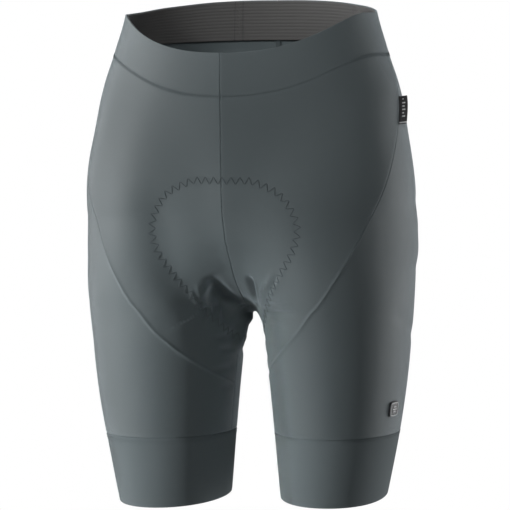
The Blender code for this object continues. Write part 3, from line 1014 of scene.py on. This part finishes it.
def knit_group():
    """Fine stitches in rows and columns, from the cloth's own UV map."""
    inputs = {"Wale": 0.0006, "Course": 0.0005, "Rib Share": 0.5}
    group, given, result = new_group("knit face", inputs, {"Height": "NodeSocketFloat"})
    uv = add_node(group, "ShaderNodeUVMap", uv_map="cloth")
    split = add_node(group, "ShaderNodeSeparateXYZ")
    group.links.new(uv.outputs[0], split.inputs[0])
    across = maths(group, "DIVIDE", split.outputs[0], given.outputs["Wale"])
    down = maths(group, "DIVIDE", split.outputs[1], given.outputs["Course"])
    lean = maths(group, "PINGPONG", across, 0.5)
    column = maths(group, "SINE", maths(group, "MULTIPLY", lean, 2 * math.pi))
    stitch = maths(group, "ADD", down, lean)
    row = maths(group, "SINE", maths(group, "MULTIPLY", stitch, 2 * math.pi))
    ribs = maths(group, "MULTIPLY", column, given.outputs["Rib Share"])
    rows_share = maths(group, "SUBTRACT", 1.0, given.outputs["Rib Share"])
    height = maths(group, "ADD", ribs, maths(group, "MULTIPLY", row, rows_share))
    group.links.new(height, result.inputs["Height"])
    return group


def tone_group():
    """Soft uneven colour over the cloth, lightly faded beside the seams, where it wears."""
    inputs = {"Color": (0.1, 0.1, 0.1, 1), "Unevenness": 0.06, "Wear": 0.10, "Wear Reach": 0.004}
    outputs = {"Color": "NodeSocketColor", "Mask": "NodeSocketFloat"}
    group, given, result = new_group("cloth tone", inputs, outputs)
    cloud = noise(group, 14, 5)
    seam = add_node(group, "ShaderNodeAttribute", attribute_name="seam")
    closeness = maths(group, "DIVIDE", seam.outputs["Fac"], given.outputs["Wear Reach"])
    closeness = maths(group, "SUBTRACT", 1.0, closeness)
    closeness = maths(group, "MAXIMUM", closeness, 0.0)
    worn = maths(group, "MULTIPLY", closeness, given.outputs["Wear"])
    uneven = maths(group, "SUBTRACT", cloud, 0.5)
    uneven = maths(group, "MULTIPLY", uneven, given.outputs["Unevenness"])
    change = maths(group, "ADD", maths(group, "ADD", uneven, worn), 1.0)
    group.links.new(shaded(group, given.outputs["Color"], change), result.inputs["Color"])
    group.links.new(cloud, result.inputs["Mask"])
    return group


def group_node(tree, name, maker, **values):
    """A node that holds a shared group, which is built when it is first needed."""
    group = bpy.data.node_groups.get(name) or maker()
    node = add_node(tree, "ShaderNodeGroup", node_tree=group)
    for key, value in values.items():
        node.inputs[key.replace("_", " ")].default_value = value
    return node


def new_material(name, roughness, sheen, sheen_roughness, sheen_tint):
    made = bpy.data.materials.new(name)
    made.use_nodes = True
    shader = made.node_tree.nodes["Principled BSDF"]
    shader.inputs["Roughness"].default_value = roughness
    shader.inputs["Specular IOR Level"].default_value = 0.35
    shader.inputs["Sheen Weight"].default_value = sheen
    shader.inputs["Sheen Roughness"].default_value = sheen_roughness
    shader.inputs["Sheen Tint"].default_value = (*sheen_tint, 1)
    return made, made.node_tree, shader


def bump(tree, shader, height, distance):
    node = add_node(tree, "ShaderNodeBump")
    feed(tree, distance, node.inputs["Distance"])
    feed(tree, height, node.inputs["Height"])
    feed(tree, node.outputs[0], shader.inputs["Normal"])


def knit_material(weave, colour):
    """A knitted or woven cloth."""
    if weave.name in bpy.data.materials:
        return bpy.data.materials[weave.name]
    made, tree, shader = new_material(weave.name, weave.roughness, weave.sheen, 0.35, (0.75, 0.85, 0.92))
    tone = group_node(tree, "cloth tone", tone_group, Color=(*colour, 1))
    values = {"Wale": weave.wale, "Course": weave.course, "Rib_Share": weave.rib_share}
    knit = group_node(tree, "knit face", knit_group, **values)
    tree.links.new(tone.outputs["Color"], shader.inputs["Base Color"])
    varied = maths(tree, "MULTIPLY_ADD", tone.outputs["Mask"], 0.12, weave.roughness - 0.06)
    tree.links.new(varied, shader.inputs["Roughness"])
    bump(tree, shader, knit.outputs["Height"], weave.depth)
    return made


def thread_material(name, colour, roughness=0.7):
    """A plain thread, or rubber, with a fine grain."""
    if name in bpy.data.materials:
        return bpy.data.materials[name]
    made, tree, shader = new_material(name, roughness, 0.15, 0.5, (0.8, 0.85, 0.9))
    grain = noise(tree, 900, 2)
    change = maths(tree, "MULTIPLY_ADD", grain, 0.5, 0.75)
    feed(tree, shaded(tree, colour, change), shader.inputs["Base Color"])
    bump(tree, shader, grain, 0.0001)
    return made


def size(name, default, description):
    return FloatProperty(name=name, description=description, default=default, unit="LENGTH")


def colour(name, default, description):
    return FloatVectorProperty(name=name, description=description, default=default, subtype="COLOR")


class ShortsSizes(bpy.types.PropertyGroup):
    """The sizes that the maker sets."""

    step: size("Mesh Step", 0.0022, "Distance between the points of the legs' and the bands' meshes")
    front_step: size("Front Mesh Step", 0.0016, "Distance between the points of the fronts' meshes")
    thread: size("Thread Radius", 0.00018, "Half the thickness of the sewing thread")
    pad_thread: size("Pad Thread Radius", 0.00034, "Half the thickness of the pad's thread")
    zigzag_pitch: size("Zigzag Pitch", 0.0088, "Length of one zigzag of the seam that holds the pad")
    zigzag_width: size("Zigzag Width", 0.0078, "Width of the zigzag seam that holds the pad")
    rung_pitch: size("Cover Stitch Pitch", 0.0022, "Distance between the waistband's cover stitches")
    overlock_pitch: size("Overlock Pitch", 0.0019, "Distance between the loops below the elastic")
    tape_width: size("Sewn Edge Width", 0.0056, "Width of the sewn edges inside the seams")
    facing_ribs: IntProperty(name="Elastic Ribs", description="Ribs across the elastic", default=12)


class ShortsColours(bpy.types.PropertyGroup):
    """The colours of the cloths and trims."""

    knit: colour("Knit", (0.115, 0.142, 0.150), "Colour of the stretch knit")
    band: colour("Leg Band", (0.128, 0.156, 0.165), "Colour of the duller knit of the leg bands")
    elastic: colour("Elastic", (0.120, 0.118, 0.116), "Colour of the ribbed elastic")
    pad: colour("Pad", (0.075, 0.080, 0.084), "Colour of the seat pad's cloth")
    seam: colour("Seam Thread", (0.020, 0.026, 0.029), "Colour of the thread inside the waist")
    stitch: colour("Stitch Thread", (0.115, 0.142, 0.150), "Colour of the thread on the cloth")
    # Pad's thread: darker than the knit, partly its own tone and partly painted shade of the grooves its
    # zigzag presses into the cloth; the sewn edges take it as their own tone
    pad_stitch: colour("Pad Thread", (0.080, 0.099, 0.105), "Colour of the pad's seam and the sewn edges")
    tag: colour("Tag", (0.040, 0.040, 0.042), "Colour of the woven tag")
    mark: colour("Marks", (0.86, 0.87, 0.88), "Pale colour of the bars on the tag and the badge")
    rubber: colour("Badge", (0.060, 0.062, 0.065), "Colour of the badge's rubber")


def sizes():
    return bpy.context.scene.shorts_sizes


def colours():
    return bpy.context.scene.shorts_colours


# A knitted or woven cloth: its finish's name, roughness, sheen, the size of its ribs and rows, the
# share of the ribs in its relief, and the relief's height
Weave = namedtuple("Weave", "name roughness sheen wale course rib_share depth")
STRETCH_KNIT = Weave("stretch knit", 0.48, 0.85, 0.0007, 0.0006, 0.5, 0.00006)
BAND_KNIT = Weave("band knit", 0.80, 0.0, 0.0020, 0.0007, 0.7, 0.00012)
RIBBED_ELASTIC = Weave("ribbed elastic", 0.70, 0.20, 0.0012, 0.0009, 0.5, 0.00010)
PAD_CLOTH = Weave("pad cloth", 0.80, 0.50, 0.0010, 0.0010, 0.5, 0.00010)
OVERLOCK = Weave("overlock", 0.75, 0.20, 0.0030, 0.0012, 0.3, 0.00020)
WOVEN_TAG = Weave("woven tag", 0.60, 0.20, 0.0004, 0.0004, 0.5, 0.00005)


def stretch_knit():
    return knit_material(STRETCH_KNIT, colours().knit)


def band_knit():
    return knit_material(BAND_KNIT, colours().band)


def elastic():
    return knit_material(RIBBED_ELASTIC, colours().elastic)


def pad_cloth():
    return knit_material(PAD_CLOTH, colours().pad)


def overlock():
    return knit_material(OVERLOCK, colours().pad_stitch)


def woven_tag():
    return knit_material(WOVEN_TAG, colours().tag)


# The pad's thread, whose darkness is partly painted shade of its stitches' grooves
def pad_thread_painted_shade():
    return thread_material("pad thread with painted shade", colours().pad_stitch)


def mark():
    return thread_material("pale mark", colours().mark, 0.6)


def rubber():
    return thread_material("badge rubber", colours().rubber, 0.45)


def thread():
    return thread_material("stitch thread", colours().stitch)


def dark_thread():
    return thread_material("seam thread", colours().seam)


class SHORTS_OT_waistbands(bpy.types.Operator):
    """Makes the two halves of the waistband"""

    bl_idname = "shorts.waistbands"
    bl_label = "Waistband"

    def execute(self, context):
        for side, hand in HANDS:
            patch = waistband_patch(side, sizes().step)
            cloth_piece(f"waistband_{hand}", patch, stretch_knit())
        return {"FINISHED"}


class SHORTS_OT_fronts(bpy.types.Operator):
    """Makes the two front panels"""

    bl_idname = "shorts.fronts"
    bl_label = "Fronts"

    def execute(self, context):
        for side, hand in HANDS:
            patch = front_patch(side, sizes().front_step)
            cloth_piece(f"front_{hand}", patch, stretch_knit())
        return {"FINISHED"}


class SHORTS_OT_leg_panels(bpy.types.Operator):
    """Makes the two leg panels"""

    bl_idname = "shorts.leg_panels"
    bl_label = "Leg Panels"

    def execute(self, context):
        for side, hand in HANDS:
            patch = leg_patch(side, sizes().step)
            cloth_piece(f"leg_panel_{hand}", patch, stretch_knit())
        return {"FINISHED"}


class SHORTS_OT_leg_bands(bpy.types.Operator):
    """Makes the two leg bands"""

    bl_idname = "shorts.leg_bands"
    bl_label = "Leg Bands"

    def execute(self, context):
        for side, hand in HANDS:
            patch = band_patch(side, sizes().step)
            cloth_piece(f"leg_band_{hand}", patch, band_knit(), wrap=True)
        return {"FINISHED"}


# The elastic inside the waistband
ELASTIC = 0.0012
RIB_HEIGHT = 0.00024
RIB_POINTS = 6
RIB_ROUNDING = 0.6
FACING_TOP = 0.02
FACING_BOTTOM = 0.76
FACING_JOIN_X = -0.040
FACING_STEP = 0.0022
# How far the overlock's loops reach above and below the elastic's lower edge
LOOP_ABOVE = 0.0042
LOOP_BELOW = 0.0014


def waist_ring():
    """The waistband's rows, once round from the facing's join at the back, and their directions."""
    around = length(rows_at(1, [WAISTBAND_DEPTH])[0])
    shares = np.linspace(0, 1, int(around / FACING_STEP))
    levels = np.linspace(0, WAISTBAND_DEPTH * FACING_BOTTOM, 9)
    rows = [places(side, levels, [shares] * len(levels)) for side in (-1, 1)]
    right, left = (waist_rise(points, shares, levels[:, None]) for points in rows)
    ring = np.concatenate([right[:, ::-1], left[:, 1:-1]], axis=1)
    start = int(np.argmin(np.abs(ring[0, : len(shares) // 2, 0] - FACING_JOIN_X)))
    ring = np.roll(ring, -start, axis=1)
    ring = np.concatenate([ring, ring[:, :1]], axis=1)
    return ring, outward(ring)


class SHORTS_OT_facing(bpy.types.Operator):
    """Makes the ribbed elastic inside the waistband and the overlock stitches at its lower edge"""

    bl_idname = "shorts.facing"
    bl_label = "Waist Elastic"

    def execute(self, context):
        ring, out = waist_ring()
        ribs = sizes().facing_ribs
        profile = [(share, 0.0) for share in np.linspace(FACING_TOP, 1, 9)]
        for share in np.linspace(1, FACING_TOP, RIB_POINTS * ribs + 1):
            turn = math.pi * ribs * (share - FACING_TOP) / (1 - FACING_TOP)
            profile.append((share, ELASTIC + RIB_HEIGHT * abs(math.sin(turn)) ** RIB_ROUNDING))
        profile.append(profile[0])
        at = np.linspace(0, 1, len(ring))
        share, depth = np.array(profile).T
        points = self.between(ring, at, share)
        ways = self.between(out, at, share)
        points = points - ways * (CLOTH + SEAM_GAP + depth)[:, None, None]
        around = run_along(points[0])
        bm = grid_mesh(points)
        bmesh.ops.remove_doubles(bm, verts=bm.verts[:], dist=1e-6)
        edges = [edge for edge in bm.edges if edge.is_boundary]
        bmesh.ops.holes_fill(bm, edges=edges, sides=0)
        bmesh.ops.recalc_face_normals(bm, faces=bm.faces[:])
        mesh = to_mesh("waist_elastic", bm)
        depth = WAISTBAND_DEPTH * FACING_BOTTOM
        add_maps(mesh, around, (share * depth)[:, None])
        piece = add_piece("waist_elastic", mesh, elastic(), node="waist_facing")
        self.add_overlock(ring[-1])
        self.add_join(ring, out)
        return {"FINISHED"}

    def between(self, rows, at, share):
        """The rows at these shares of the band's depth."""
        i = np.clip(np.searchsorted(at, share) - 1, 0, len(at) - 2)
        t = ((share - at[i]) / (at[i + 1] - at[i]))[:, None, None]
        return rows[i] * (1 - t) + rows[i + 1] * t

    def add_overlock(self, line):
        """Dark loops over the elastic's lower edge, with a chain along their tops."""
        radius = sizes().thread * 1.4
        line = spaced(line[:-1], sizes().overlock_pitch, closed=True)
        way = outward(line)
        inner = line - way * (CLOTH + ELASTIC + SEAM_GAP + RIB_HEIGHT)
        top = inner + [0, 0, LOOP_ABOVE]
        low = line - way * (CLOTH + radius) - [0, 0, LOOP_BELOW]
        ahead = np.roll(top, -1, axis=0)
        loops = np.stack([low, (low + top) / 2 - way * radius, top, (top + ahead) / 2], axis=1)
        threads("waist_overlock", loops, radius, dark_thread())

    def add_join(self, ring, out):
        """Two rows of stitches beside the elastic's join."""
        paths = []
        for column in (2, -3):
            line = ring[:, column] - out[:, column] * (CLOTH + SEAM_GAP + ELASTIC + RIB_HEIGHT)
            paths.append(spaced(line, 0.003))
        threads("elastic_join", paths, sizes().thread, dark_thread())


# The pad's channels: the middle one's width and the side ones' place and width, in half widths of
# the pad, and the crossing ones' places and width in metres along it
MIDDLE_CHANNEL = 0.10
SIDE_CHANNEL = 0.62
SIDE_CHANNEL_WIDTH = 0.07
CROSSINGS = (0.115, 0.205)
CROSSING_WIDTH = 0.004
FRONT_FILL = 0.70
SEAT_BONES = 0.15


class SHORTS_OT_pad(bpy.types.Operator):
    """Makes the seat pad, with its channels, and the zigzag seam that holds it"""

    bl_idname = "shorts.pad"
    bl_label = "Seat Pad"

    def execute(self, context):
        runs = np.linspace(0, PAD[-1].run, PAD_ROWS)
        across = np.linspace(-1, 1, PAD_COLUMNS)
        depth = PAD_EDGE + (PAD_THICK - PAD_EDGE) * self.fill(runs, across)
        flat = settle(pad_points())
        out = outward(flat)
        outer = flat + out * (relief(flat) - CLOTH - PAD_CLEARANCE)[..., None]
        inner = outer - out * depth[..., None]
        mesh = sheet_mesh("pad_cushion", inner, -out)
        add_maps(mesh, across * PAD_HALF_WIDTH, runs[:, None])
        piece = add_piece("pad_cushion", mesh, pad_cloth(), node="seat_pad")
        add_wall(piece, PAD_EDGE * 0.9)
        outline = kept("pad edge", pad_outline)
        radius, pitch, width = sizes().pad_thread, sizes().zigzag_pitch, sizes().zigzag_width
        paths = zigzag(outline, pitch, width, radius)
        # The zigzag's thread is darkened partly as painted shade of the grooves it presses into the cloth
        threads("pad_stitches", paths, radius, pad_thread_painted_shade())
        return {"FINISHED"}

    def fill(self, runs, across):
        """How full the pad is: thick under the seat bones, with channels between its cushions."""
        runs = runs[:, None]
        edge = eased((1 - np.abs(across)) / 0.25)
        ends = eased(np.minimum(runs, PAD[-1].run - runs) / 0.020)
        middle = bell(across, MIDDLE_CHANNEL) * eased((runs - 0.06) / 0.03)
        side = bell(np.abs(across) - SIDE_CHANNEL, SIDE_CHANNEL_WIDTH) * eased((runs - 0.03) / 0.03)
        crossing = sum(bell(runs - at, CROSSING_WIDTH) for at in CROSSINGS)
        thick = FRONT_FILL + (1 - FRONT_FILL) * eased((runs - SEAT_BONES) / 0.06)
        channels = 1 - np.clip(0.62 * middle + 0.55 * side + 0.5 * crossing, 0, 0.8)
        return thick * edge * ends * channels


# The ladder of stitches over the waist seam: their reach on each side of it, their thickness in
# threads, and how far they lean in pitches
RUNG_REACH = 0.0024
RUNG_SHARE = 0.8
RUNG_LEAN = 0.2
# The two rows of stitches below the leg band's seam: their length, and how far down they start
HEM_STITCH = 0.0024
HEM_STITCH_DROP = 0.0026
TAPE_THICK = 0.0006
TAPE_TRIM = 0.0005
# Distances between the points of the lines that the seams' stitches and sewn edges follow
CENTRE_STEP = 0.003
DIAGONAL_STEP = 0.002
# How far above the place where the raised edge is full its cord starts
CORD_START = 0.02


class SHORTS_OT_seams(bpy.types.Operator):
    """Makes the stitches on the seams and the sewn edges inside them"""

    bl_idname = "shorts.seams"
    bl_label = "Seams"

    def execute(self, context):
        radius, pitch = sizes().thread, sizes().rung_pitch
        for side, hand in HANDS:
            waist = self.level_line(side, WAISTBAND_DEPTH)
            ladder = rungs(waist, pitch, RUNG_REACH, radius * RUNG_SHARE, RUNG_LEAN)
            threads(f"waist_seam_{hand}", ladder, radius * RUNG_SHARE, thread())
            hem = self.level_line(side, BAND_LEVEL + HEM_STITCH_DROP)[:-1]
            rows = [running(hem, HEM_STITCH, offset, radius) for offset in (0, HEM_STITCH)]
            threads(f"band_seam_{hand}", np.concatenate(rows), radius, thread())
            edge = diagonal_line(side, EDGE_FULL - CORD_START, FRONT_POINT, DIAGONAL_STEP)
            cord = on_cloth(edge, EDGE_HEIGHT * 0.9)
            threads(f"diagonal_edge_{hand}", [cord], radius, thread())
            diagonal = diagonal_line(side, 0.042, FRONT_POINT, DIAGONAL_STEP)
            self.add_tape(f"diagonal_tape_{hand}", diagonal)
            self.add_tape(f"waist_tape_{hand}", self.level_line(side, WAISTBAND_DEPTH + 0.003))
            self.add_tape(f"inseam_tape_{hand}", self.inseam(side))
            self.add_tape(f"band_tape_{hand}", self.level_line(side, BAND_LEVEL), 0.001)
        self.add_tape("front_tape", self.centre(0))
        self.add_tape("back_tape", self.centre(1))
        return {"FINISHED"}

    def level_line(self, side, level):
        return place(side, level, np.linspace(0, 1, 241))

    def centre(self, share):
        line = centre_line(0.0)[share]
        stop = -TAPE_TRIM if share else -FRONT_DIP
        return spaced(line[line[:, 2] < stop - TAPE_TRIM], CENTRE_STEP)

    def inseam(self, side):
        levels = np.linspace(CROTCH_LEVEL + 0.004, BAND_LEVEL - 0.001, 50)
        return places(side, levels, 0 * levels)

    def add_tape(self, name, path, gap=0.0002):
        """The sewn edges inside a seam, as a narrow band of thread under the cloth."""
        side = across_path(path)
        shares = np.linspace(-0.5, 0.5, 7)
        width = sizes().tape_width
        flat = path[:, None] + side[:, None] * shares[:, None] * width
        points = on_cloth(flat, -CLOTH - gap - TAPE_THICK)
        mesh = sheet_mesh(name, points, -outward(points))
        add_maps(mesh, shares * width, run_along(path)[:, None])
        piece = add_piece(name, mesh, overlock())
        wall = piece.modifiers.new("wall", "SOLIDIFY")
        wall.thickness = TAPE_THICK
        wall.offset = -1


# The woven tag, a folded loop caught in the left side seam
TAG_LEVEL = 0.096
TAG_HEIGHT = 0.027
TAG_REACH = 0.010
TAG_THICK = 0.0010
TAG_LIFT = 0.55
TAG_WAVE = 0.0003
TAG_WAVE_TURN = 5
TAG_WALL = 0.0003
TAG_PRINT = 0.00018
TAG_FLAT_POINTS = 6
TAG_BEND_POINTS = 9
TAG_BEND = slice(TAG_FLAT_POINTS, TAG_FLAT_POINTS + TAG_BEND_POINTS)
# The bars on the tag: the start and the stop down it and the start and the stop out from the seam
TAG_BARS = (
    (0.09, 0.13, 0.36, 0.50),
    (0.22, 0.27, 0.30, 0.66),
    (0.34, 0.39, 0.30, 0.58),
    (0.46, 0.51, 0.30, 0.66),
    (0.58, 0.63, 0.30, 0.52),
    (0.70, 0.75, 0.30, 0.66),
    (0.925, 0.965, 0.02, 0.98),
)


class SHORTS_OT_tag(bpy.types.Operator):
    """Makes the woven tag in the left side seam, with plain bars"""

    bl_idname = "shorts.tag"
    bl_label = "Side Tag"

    def execute(self, context):
        levels = np.linspace(TAG_LEVEL - TAG_HEIGHT / 2, TAG_LEVEL + TAG_HEIGHT / 2, 25)
        rows_at(1, levels)
        shares = np.array([diagonal_share(1, level) for level in levels])
        foot = places(1, levels, shares)
        normal, back = outward(foot), unit(places(1, levels, shares + 0.01) - foot)
        middle_normal = normal.mean(axis=0)
        out = unit(back.mean(axis=0) + TAG_LIFT * middle_normal)
        face = unit(middle_normal - out * float(middle_normal @ out))
        self.foot = foot + normal * relief(foot)[:, None]
        self.out, self.face = out, face
        bend = TAG_THICK * 0.4
        turn = np.linspace(-math.pi / 2, math.pi / 2, TAG_BEND_POINTS)
        flat = np.linspace(0, 1, TAG_FLAT_POINTS + 1)
        reach = np.concatenate([flat[:-1], 1 + 0 * turn, flat[-2::-1]])
        outs = reach * (TAG_REACH - bend)
        outs[TAG_BEND] += np.cos(turn) * bend
        low = np.full(TAG_FLAT_POINTS, -bend)
        rise = np.concatenate([low, np.sin(turn) * bend, -low]) + bend
        points = self.foot[:, None] + out * outs[:, None] + face * (rise + SEAM_GAP)[:, None]
        wave = TAG_WAVE * np.sin(np.linspace(0, TAG_WAVE_TURN, len(levels)))[:, None] * reach
        points = points + face * wave[..., None]
        mesh = sheet_mesh("tag_loop", points, self.sides(rise))
        add_maps(mesh, run_along(points[0]), (levels - levels[0])[:, None])
        piece = add_piece("tag_loop", mesh, woven_tag(), node="side_tag")
        add_wall(piece, TAG_WALL)
        self.add_bars()
        return {"FINISHED"}

    def sides(self, rise):
        """The direction away from the loop's middle at each point round it."""
        away = self.face * (rise - rise.mean())[:, None]
        away[TAG_BEND] += self.out * TAG_THICK / 2
        return away

    def add_bars(self):
        lift = TAG_THICK * 0.8 + SEAM_GAP + 0.0002
        last = len(self.foot) - 1
        for k, (top, bottom, near, far) in enumerate(TAG_BARS):
            rows = np.linspace(top, bottom, 6) * last
            feet = [np.interp(rows, np.arange(last + 1), self.foot[:, axis]) for axis in range(3)]
            reach = np.linspace(near, far, 5) * TAG_REACH
            wave = TAG_WAVE * np.sin(rows / last * TAG_WAVE_TURN)[:, None] * reach / TAG_REACH
            points = np.stack(feet, axis=-1)[:, None] + self.out * reach[:, None]
            mesh = sheet_mesh(f"tag_bar_{k}", points + self.face * (lift + wave)[..., None], self.face)
            add_wall(add_piece(f"tag_bar_{k}", mesh, mark()), TAG_PRINT)


# The moulded badge low on the left leg
BADGE_LEVEL = 0.390
BADGE_SHARE = 0.446
BADGE_SIZE = 0.016
BADGE_THICK = 0.0016
BADGE_ROUNDING = 0.40
BADGE_WALL = 0.0004
# The badge's border, a square at this share of its half size, and the thickness of its lines
BORDER_SHARE = 0.80
BORDER_LINE = 0.00060
BAR_LINE = 0.00075
LINE_LEVEL = 0.92
# The bars on the badge: how far each is down it, and half its length
BADGE_BARS = ((-0.30, 0.30), (0.0, 0.42), (0.30, 0.30))


class SHORTS_OT_badge(bpy.types.Operator):
    """Makes the moulded badge on the left leg, with a plain border and bars"""

    bl_idname = "shorts.badge"
    bl_label = "Leg Badge"

    def execute(self, context):
        span = np.linspace(-1, 1, 25)
        across, down = np.meshgrid(span, span)
        radius = np.maximum(np.abs(across), np.abs(down))
        rise = BADGE_THICK * (1 - radius**7) ** 0.5
        points, out = self.at(across, down, SEAM_GAP * 0.3 + rise)
        mesh = sheet_mesh("badge_plate", points, out)
        piece = add_piece("badge_plate", mesh, rubber(), node="leg_badge")
        add_wall(piece, BADGE_WALL)
        turn = np.linspace(0, 2 * math.pi, 61)[:-1]
        square = BORDER_SHARE / np.maximum(np.abs(np.cos(turn)), np.abs(np.sin(turn)))
        lift = SEAM_GAP + BADGE_THICK * LINE_LEVEL
        ring, _ = self.at(square * np.cos(turn), square * np.sin(turn), lift)
        threads("badge_border", [ring], BORDER_LINE, mark(), closed=True)
        bars = [
            self.at(np.linspace(-half, half, 7), np.full(7, down), lift)[0] for down, half in BADGE_BARS
        ]
        threads("badge_bars", bars, BAR_LINE, mark())
        return {"FINISHED"}

    def at(self, across, down, lift):
        """Points of the badge, from shares of its half size, and their outward directions."""
        around = length(rows_at(1, [BADGE_LEVEL])[0])
        a = across * np.sqrt(1 - BADGE_ROUNDING * down**2 / 2) * BADGE_SIZE / 2
        b = down * np.sqrt(1 - BADGE_ROUNDING * across**2 / 2) * BADGE_SIZE / 2
        shares = (BADGE_SHARE + a / around).ravel()
        levels = (BADGE_LEVEL + b).ravel()
        flat = places(1, levels, shares)
        out = outward(flat)
        lift = np.broadcast_to(lift, a.shape).ravel()
        points = flat + out * (relief(flat) + lift)[:, None]
        return points.reshape(*a.shape, 3), out.reshape(*a.shape, 3)


# The camera's place, as the photograph's
CAMERA_AZIMUTH = math.radians(18.5)
CAMERA_ELEVATION = math.radians(4.0)
CAMERA_ROLL = math.radians(-0.3)
CAMERA_DISTANCE = 3.2
CAMERA_TARGET = Vector((0, 0, -0.240))
PICTURE = 510
PICTURE_WIDTH = 0.510
SENSOR = 36.0
SHIFT = (3 / PICTURE, -1 / PICTURE)

# The lamps, by azimuth from the camera to the viewer's right, elevation and distance from the point
# that each is turned to, at this x and this height, and the angle that its light spreads to
LAMPS = named_rows(
    "name azimuth elevation distance width height power aim_x aim_z spread",
    ("key", -112, 10, 1.6, 0.8, 1.6, 23, 0, -0.24, 180),
    ("side", -60, 25, 1.6, 0.6, 0.6, 0.80, -0.02, 0.12, 34),
    ("leg", -66, 0, 1.4, 0.08, 0.35, 0.16, 0.060, -0.38, 12),
    ("rim", 114, 0, 1.6, 0.6, 1.2, 12, 0, -0.34, 180),
    ("fill", 15, 25, 2.0, 0.6, 0.6, 0.29, 0.06, -0.04, 30),
    ("top", 170, 65, 1.8, 1.2, 1.2, 5, 0, -0.24, 180),
    ("opening", -10, 35, 1.6, 0.2, 0.2, 0.020, 0, 0.06, 14),
)
FLOOR_LEVEL = -0.90
FLOOR_RADIUS = 1.6
AMBIENT = 0.038
GLANCING = 0.12


class SHORTS_OT_stage(bpy.types.Operator):
    """Makes the floor, the lamps, the white surroundings and the camera"""

    bl_idname = "shorts.stage"
    bl_label = "Stage"

    def execute(self, context):
        self.add_floor()
        self.add_surroundings(context.scene)
        for lamp in LAMPS:
            self.add_lamp(lamp)
        self.add_camera(context.scene)
        return {"FINISHED"}

    def direction(self, azimuth, elevation):
        turn = CAMERA_AZIMUTH + azimuth
        flat = math.cos(elevation)
        return Vector((math.sin(turn) * flat, -math.cos(turn) * flat, math.sin(elevation)))

    def add_floor(self):
        bm = bmesh.new()
        bmesh.ops.create_circle(bm, cap_ends=True, segments=96, radius=FLOOR_RADIUS)
        bmesh.ops.translate(bm, vec=(0, 0, FLOOR_LEVEL), verts=bm.verts[:])
        floor = add_object("floor", to_mesh("floor", bm))
        made = bpy.data.materials.new("pale floor")
        made.use_nodes = True
        shader = made.node_tree.nodes["Principled BSDF"]
        shader.inputs["Base Color"].default_value = (0.80, 0.80, 0.80, 1)
        shader.inputs["Roughness"].default_value = 0.9
        floor.data.materials.append(made)

    def add_surroundings(self, scene):
        """White where the camera sees them, and a dim soft light on everything else."""
        world = bpy.data.worlds.new("surroundings")
        scene.world = world
        world.use_nodes = True
        tree = world.node_tree
        sky = tree.nodes["Background"]
        sky.inputs["Color"].default_value = (1, 1, 1, 1)
        path = add_node(tree, "ShaderNodeLightPath")
        glance = path.outputs["Is Glossy Ray"]
        mirrored = maths(tree, "MULTIPLY_ADD", glance, GLANCING - AMBIENT, AMBIENT)
        seen = maths(tree, "MAXIMUM", path.outputs["Is Camera Ray"], mirrored)
        tree.links.new(seen, sky.inputs["Strength"])
        scene.view_settings.view_transform = "Standard"

    def add_lamp(self, lamp):
        light = bpy.data.lights.new(lamp.name, "AREA")
        light.shape = "RECTANGLE"
        light.size = lamp.width
        light.size_y = lamp.height
        light.energy = lamp.power
        light.spread = math.radians(lamp.spread)
        made = add_object(lamp.name, light)
        way = self.direction(math.radians(lamp.azimuth), math.radians(lamp.elevation))
        made.location = Vector((lamp.aim_x, 0, lamp.aim_z)) + way * lamp.distance
        made.rotation_euler = way.to_track_quat("Z", "Y").to_euler()

    def add_camera(self, scene):
        data = bpy.data.cameras.new("camera")
        data.sensor_width = SENSOR
        data.lens = SENSOR * CAMERA_DISTANCE / PICTURE_WIDTH
        data.shift_x, data.shift_y = SHIFT
        camera = add_object("camera", data)
        way = self.direction(0, CAMERA_ELEVATION)
        turn = way.to_track_quat("Z", "Y").to_matrix() @ Matrix.Rotation(CAMERA_ROLL, 3, "Z")
        camera.matrix_world = Matrix.Translation(CAMERA_TARGET + way * CAMERA_DISTANCE) @ turn.to_4x4()
        scene.camera = camera


OPERATORS = (
    SHORTS_OT_stage,
    SHORTS_OT_waistbands,
    SHORTS_OT_fronts,
    SHORTS_OT_leg_panels,
    SHORTS_OT_leg_bands,
    SHORTS_OT_facing,
    SHORTS_OT_pad,
    SHORTS_OT_seams,
    SHORTS_OT_tag,
    SHORTS_OT_badge,
)


class SHORTS_PT_panel(bpy.types.Panel):
    """The steps of making the shorts, in order"""

    bl_idname = "SHORTS_PT_panel"
    bl_label = "Cycling Shorts"
    bl_space_type = "VIEW_3D"
    bl_region_type = "UI"
    bl_category = "Shorts"

    def draw(self, context):
        for group in (context.scene.shorts_sizes, context.scene.shorts_colours):
            column = self.layout.column()
            for name in group.bl_rna.properties.keys():
                if name not in {"rna_type", "name"}:
                    column.prop(group, name)
        for operator in OPERATORS:
            self.layout.operator(operator.bl_idname)


CLASSES = (ShortsSizes, ShortsColours, *OPERATORS, SHORTS_PT_panel)


def register():
    for item in CLASSES:
        bpy.utils.register_class(item)
    bpy.types.Scene.shorts_sizes = PointerProperty(type=ShortsSizes)
    bpy.types.Scene.shorts_colours = PointerProperty(type=ShortsColours)


def unregister():
    del bpy.types.Scene.shorts_colours
    del bpy.types.Scene.shorts_sizes
    for item in reversed(CLASSES):
        bpy.utils.unregister_class(item)


def main():
    register()
    for operator in OPERATORS:
        group, name = operator.bl_idname.split(".")
        getattr(getattr(bpy.ops, group), name)()


if __name__ == "__main__":
    main()
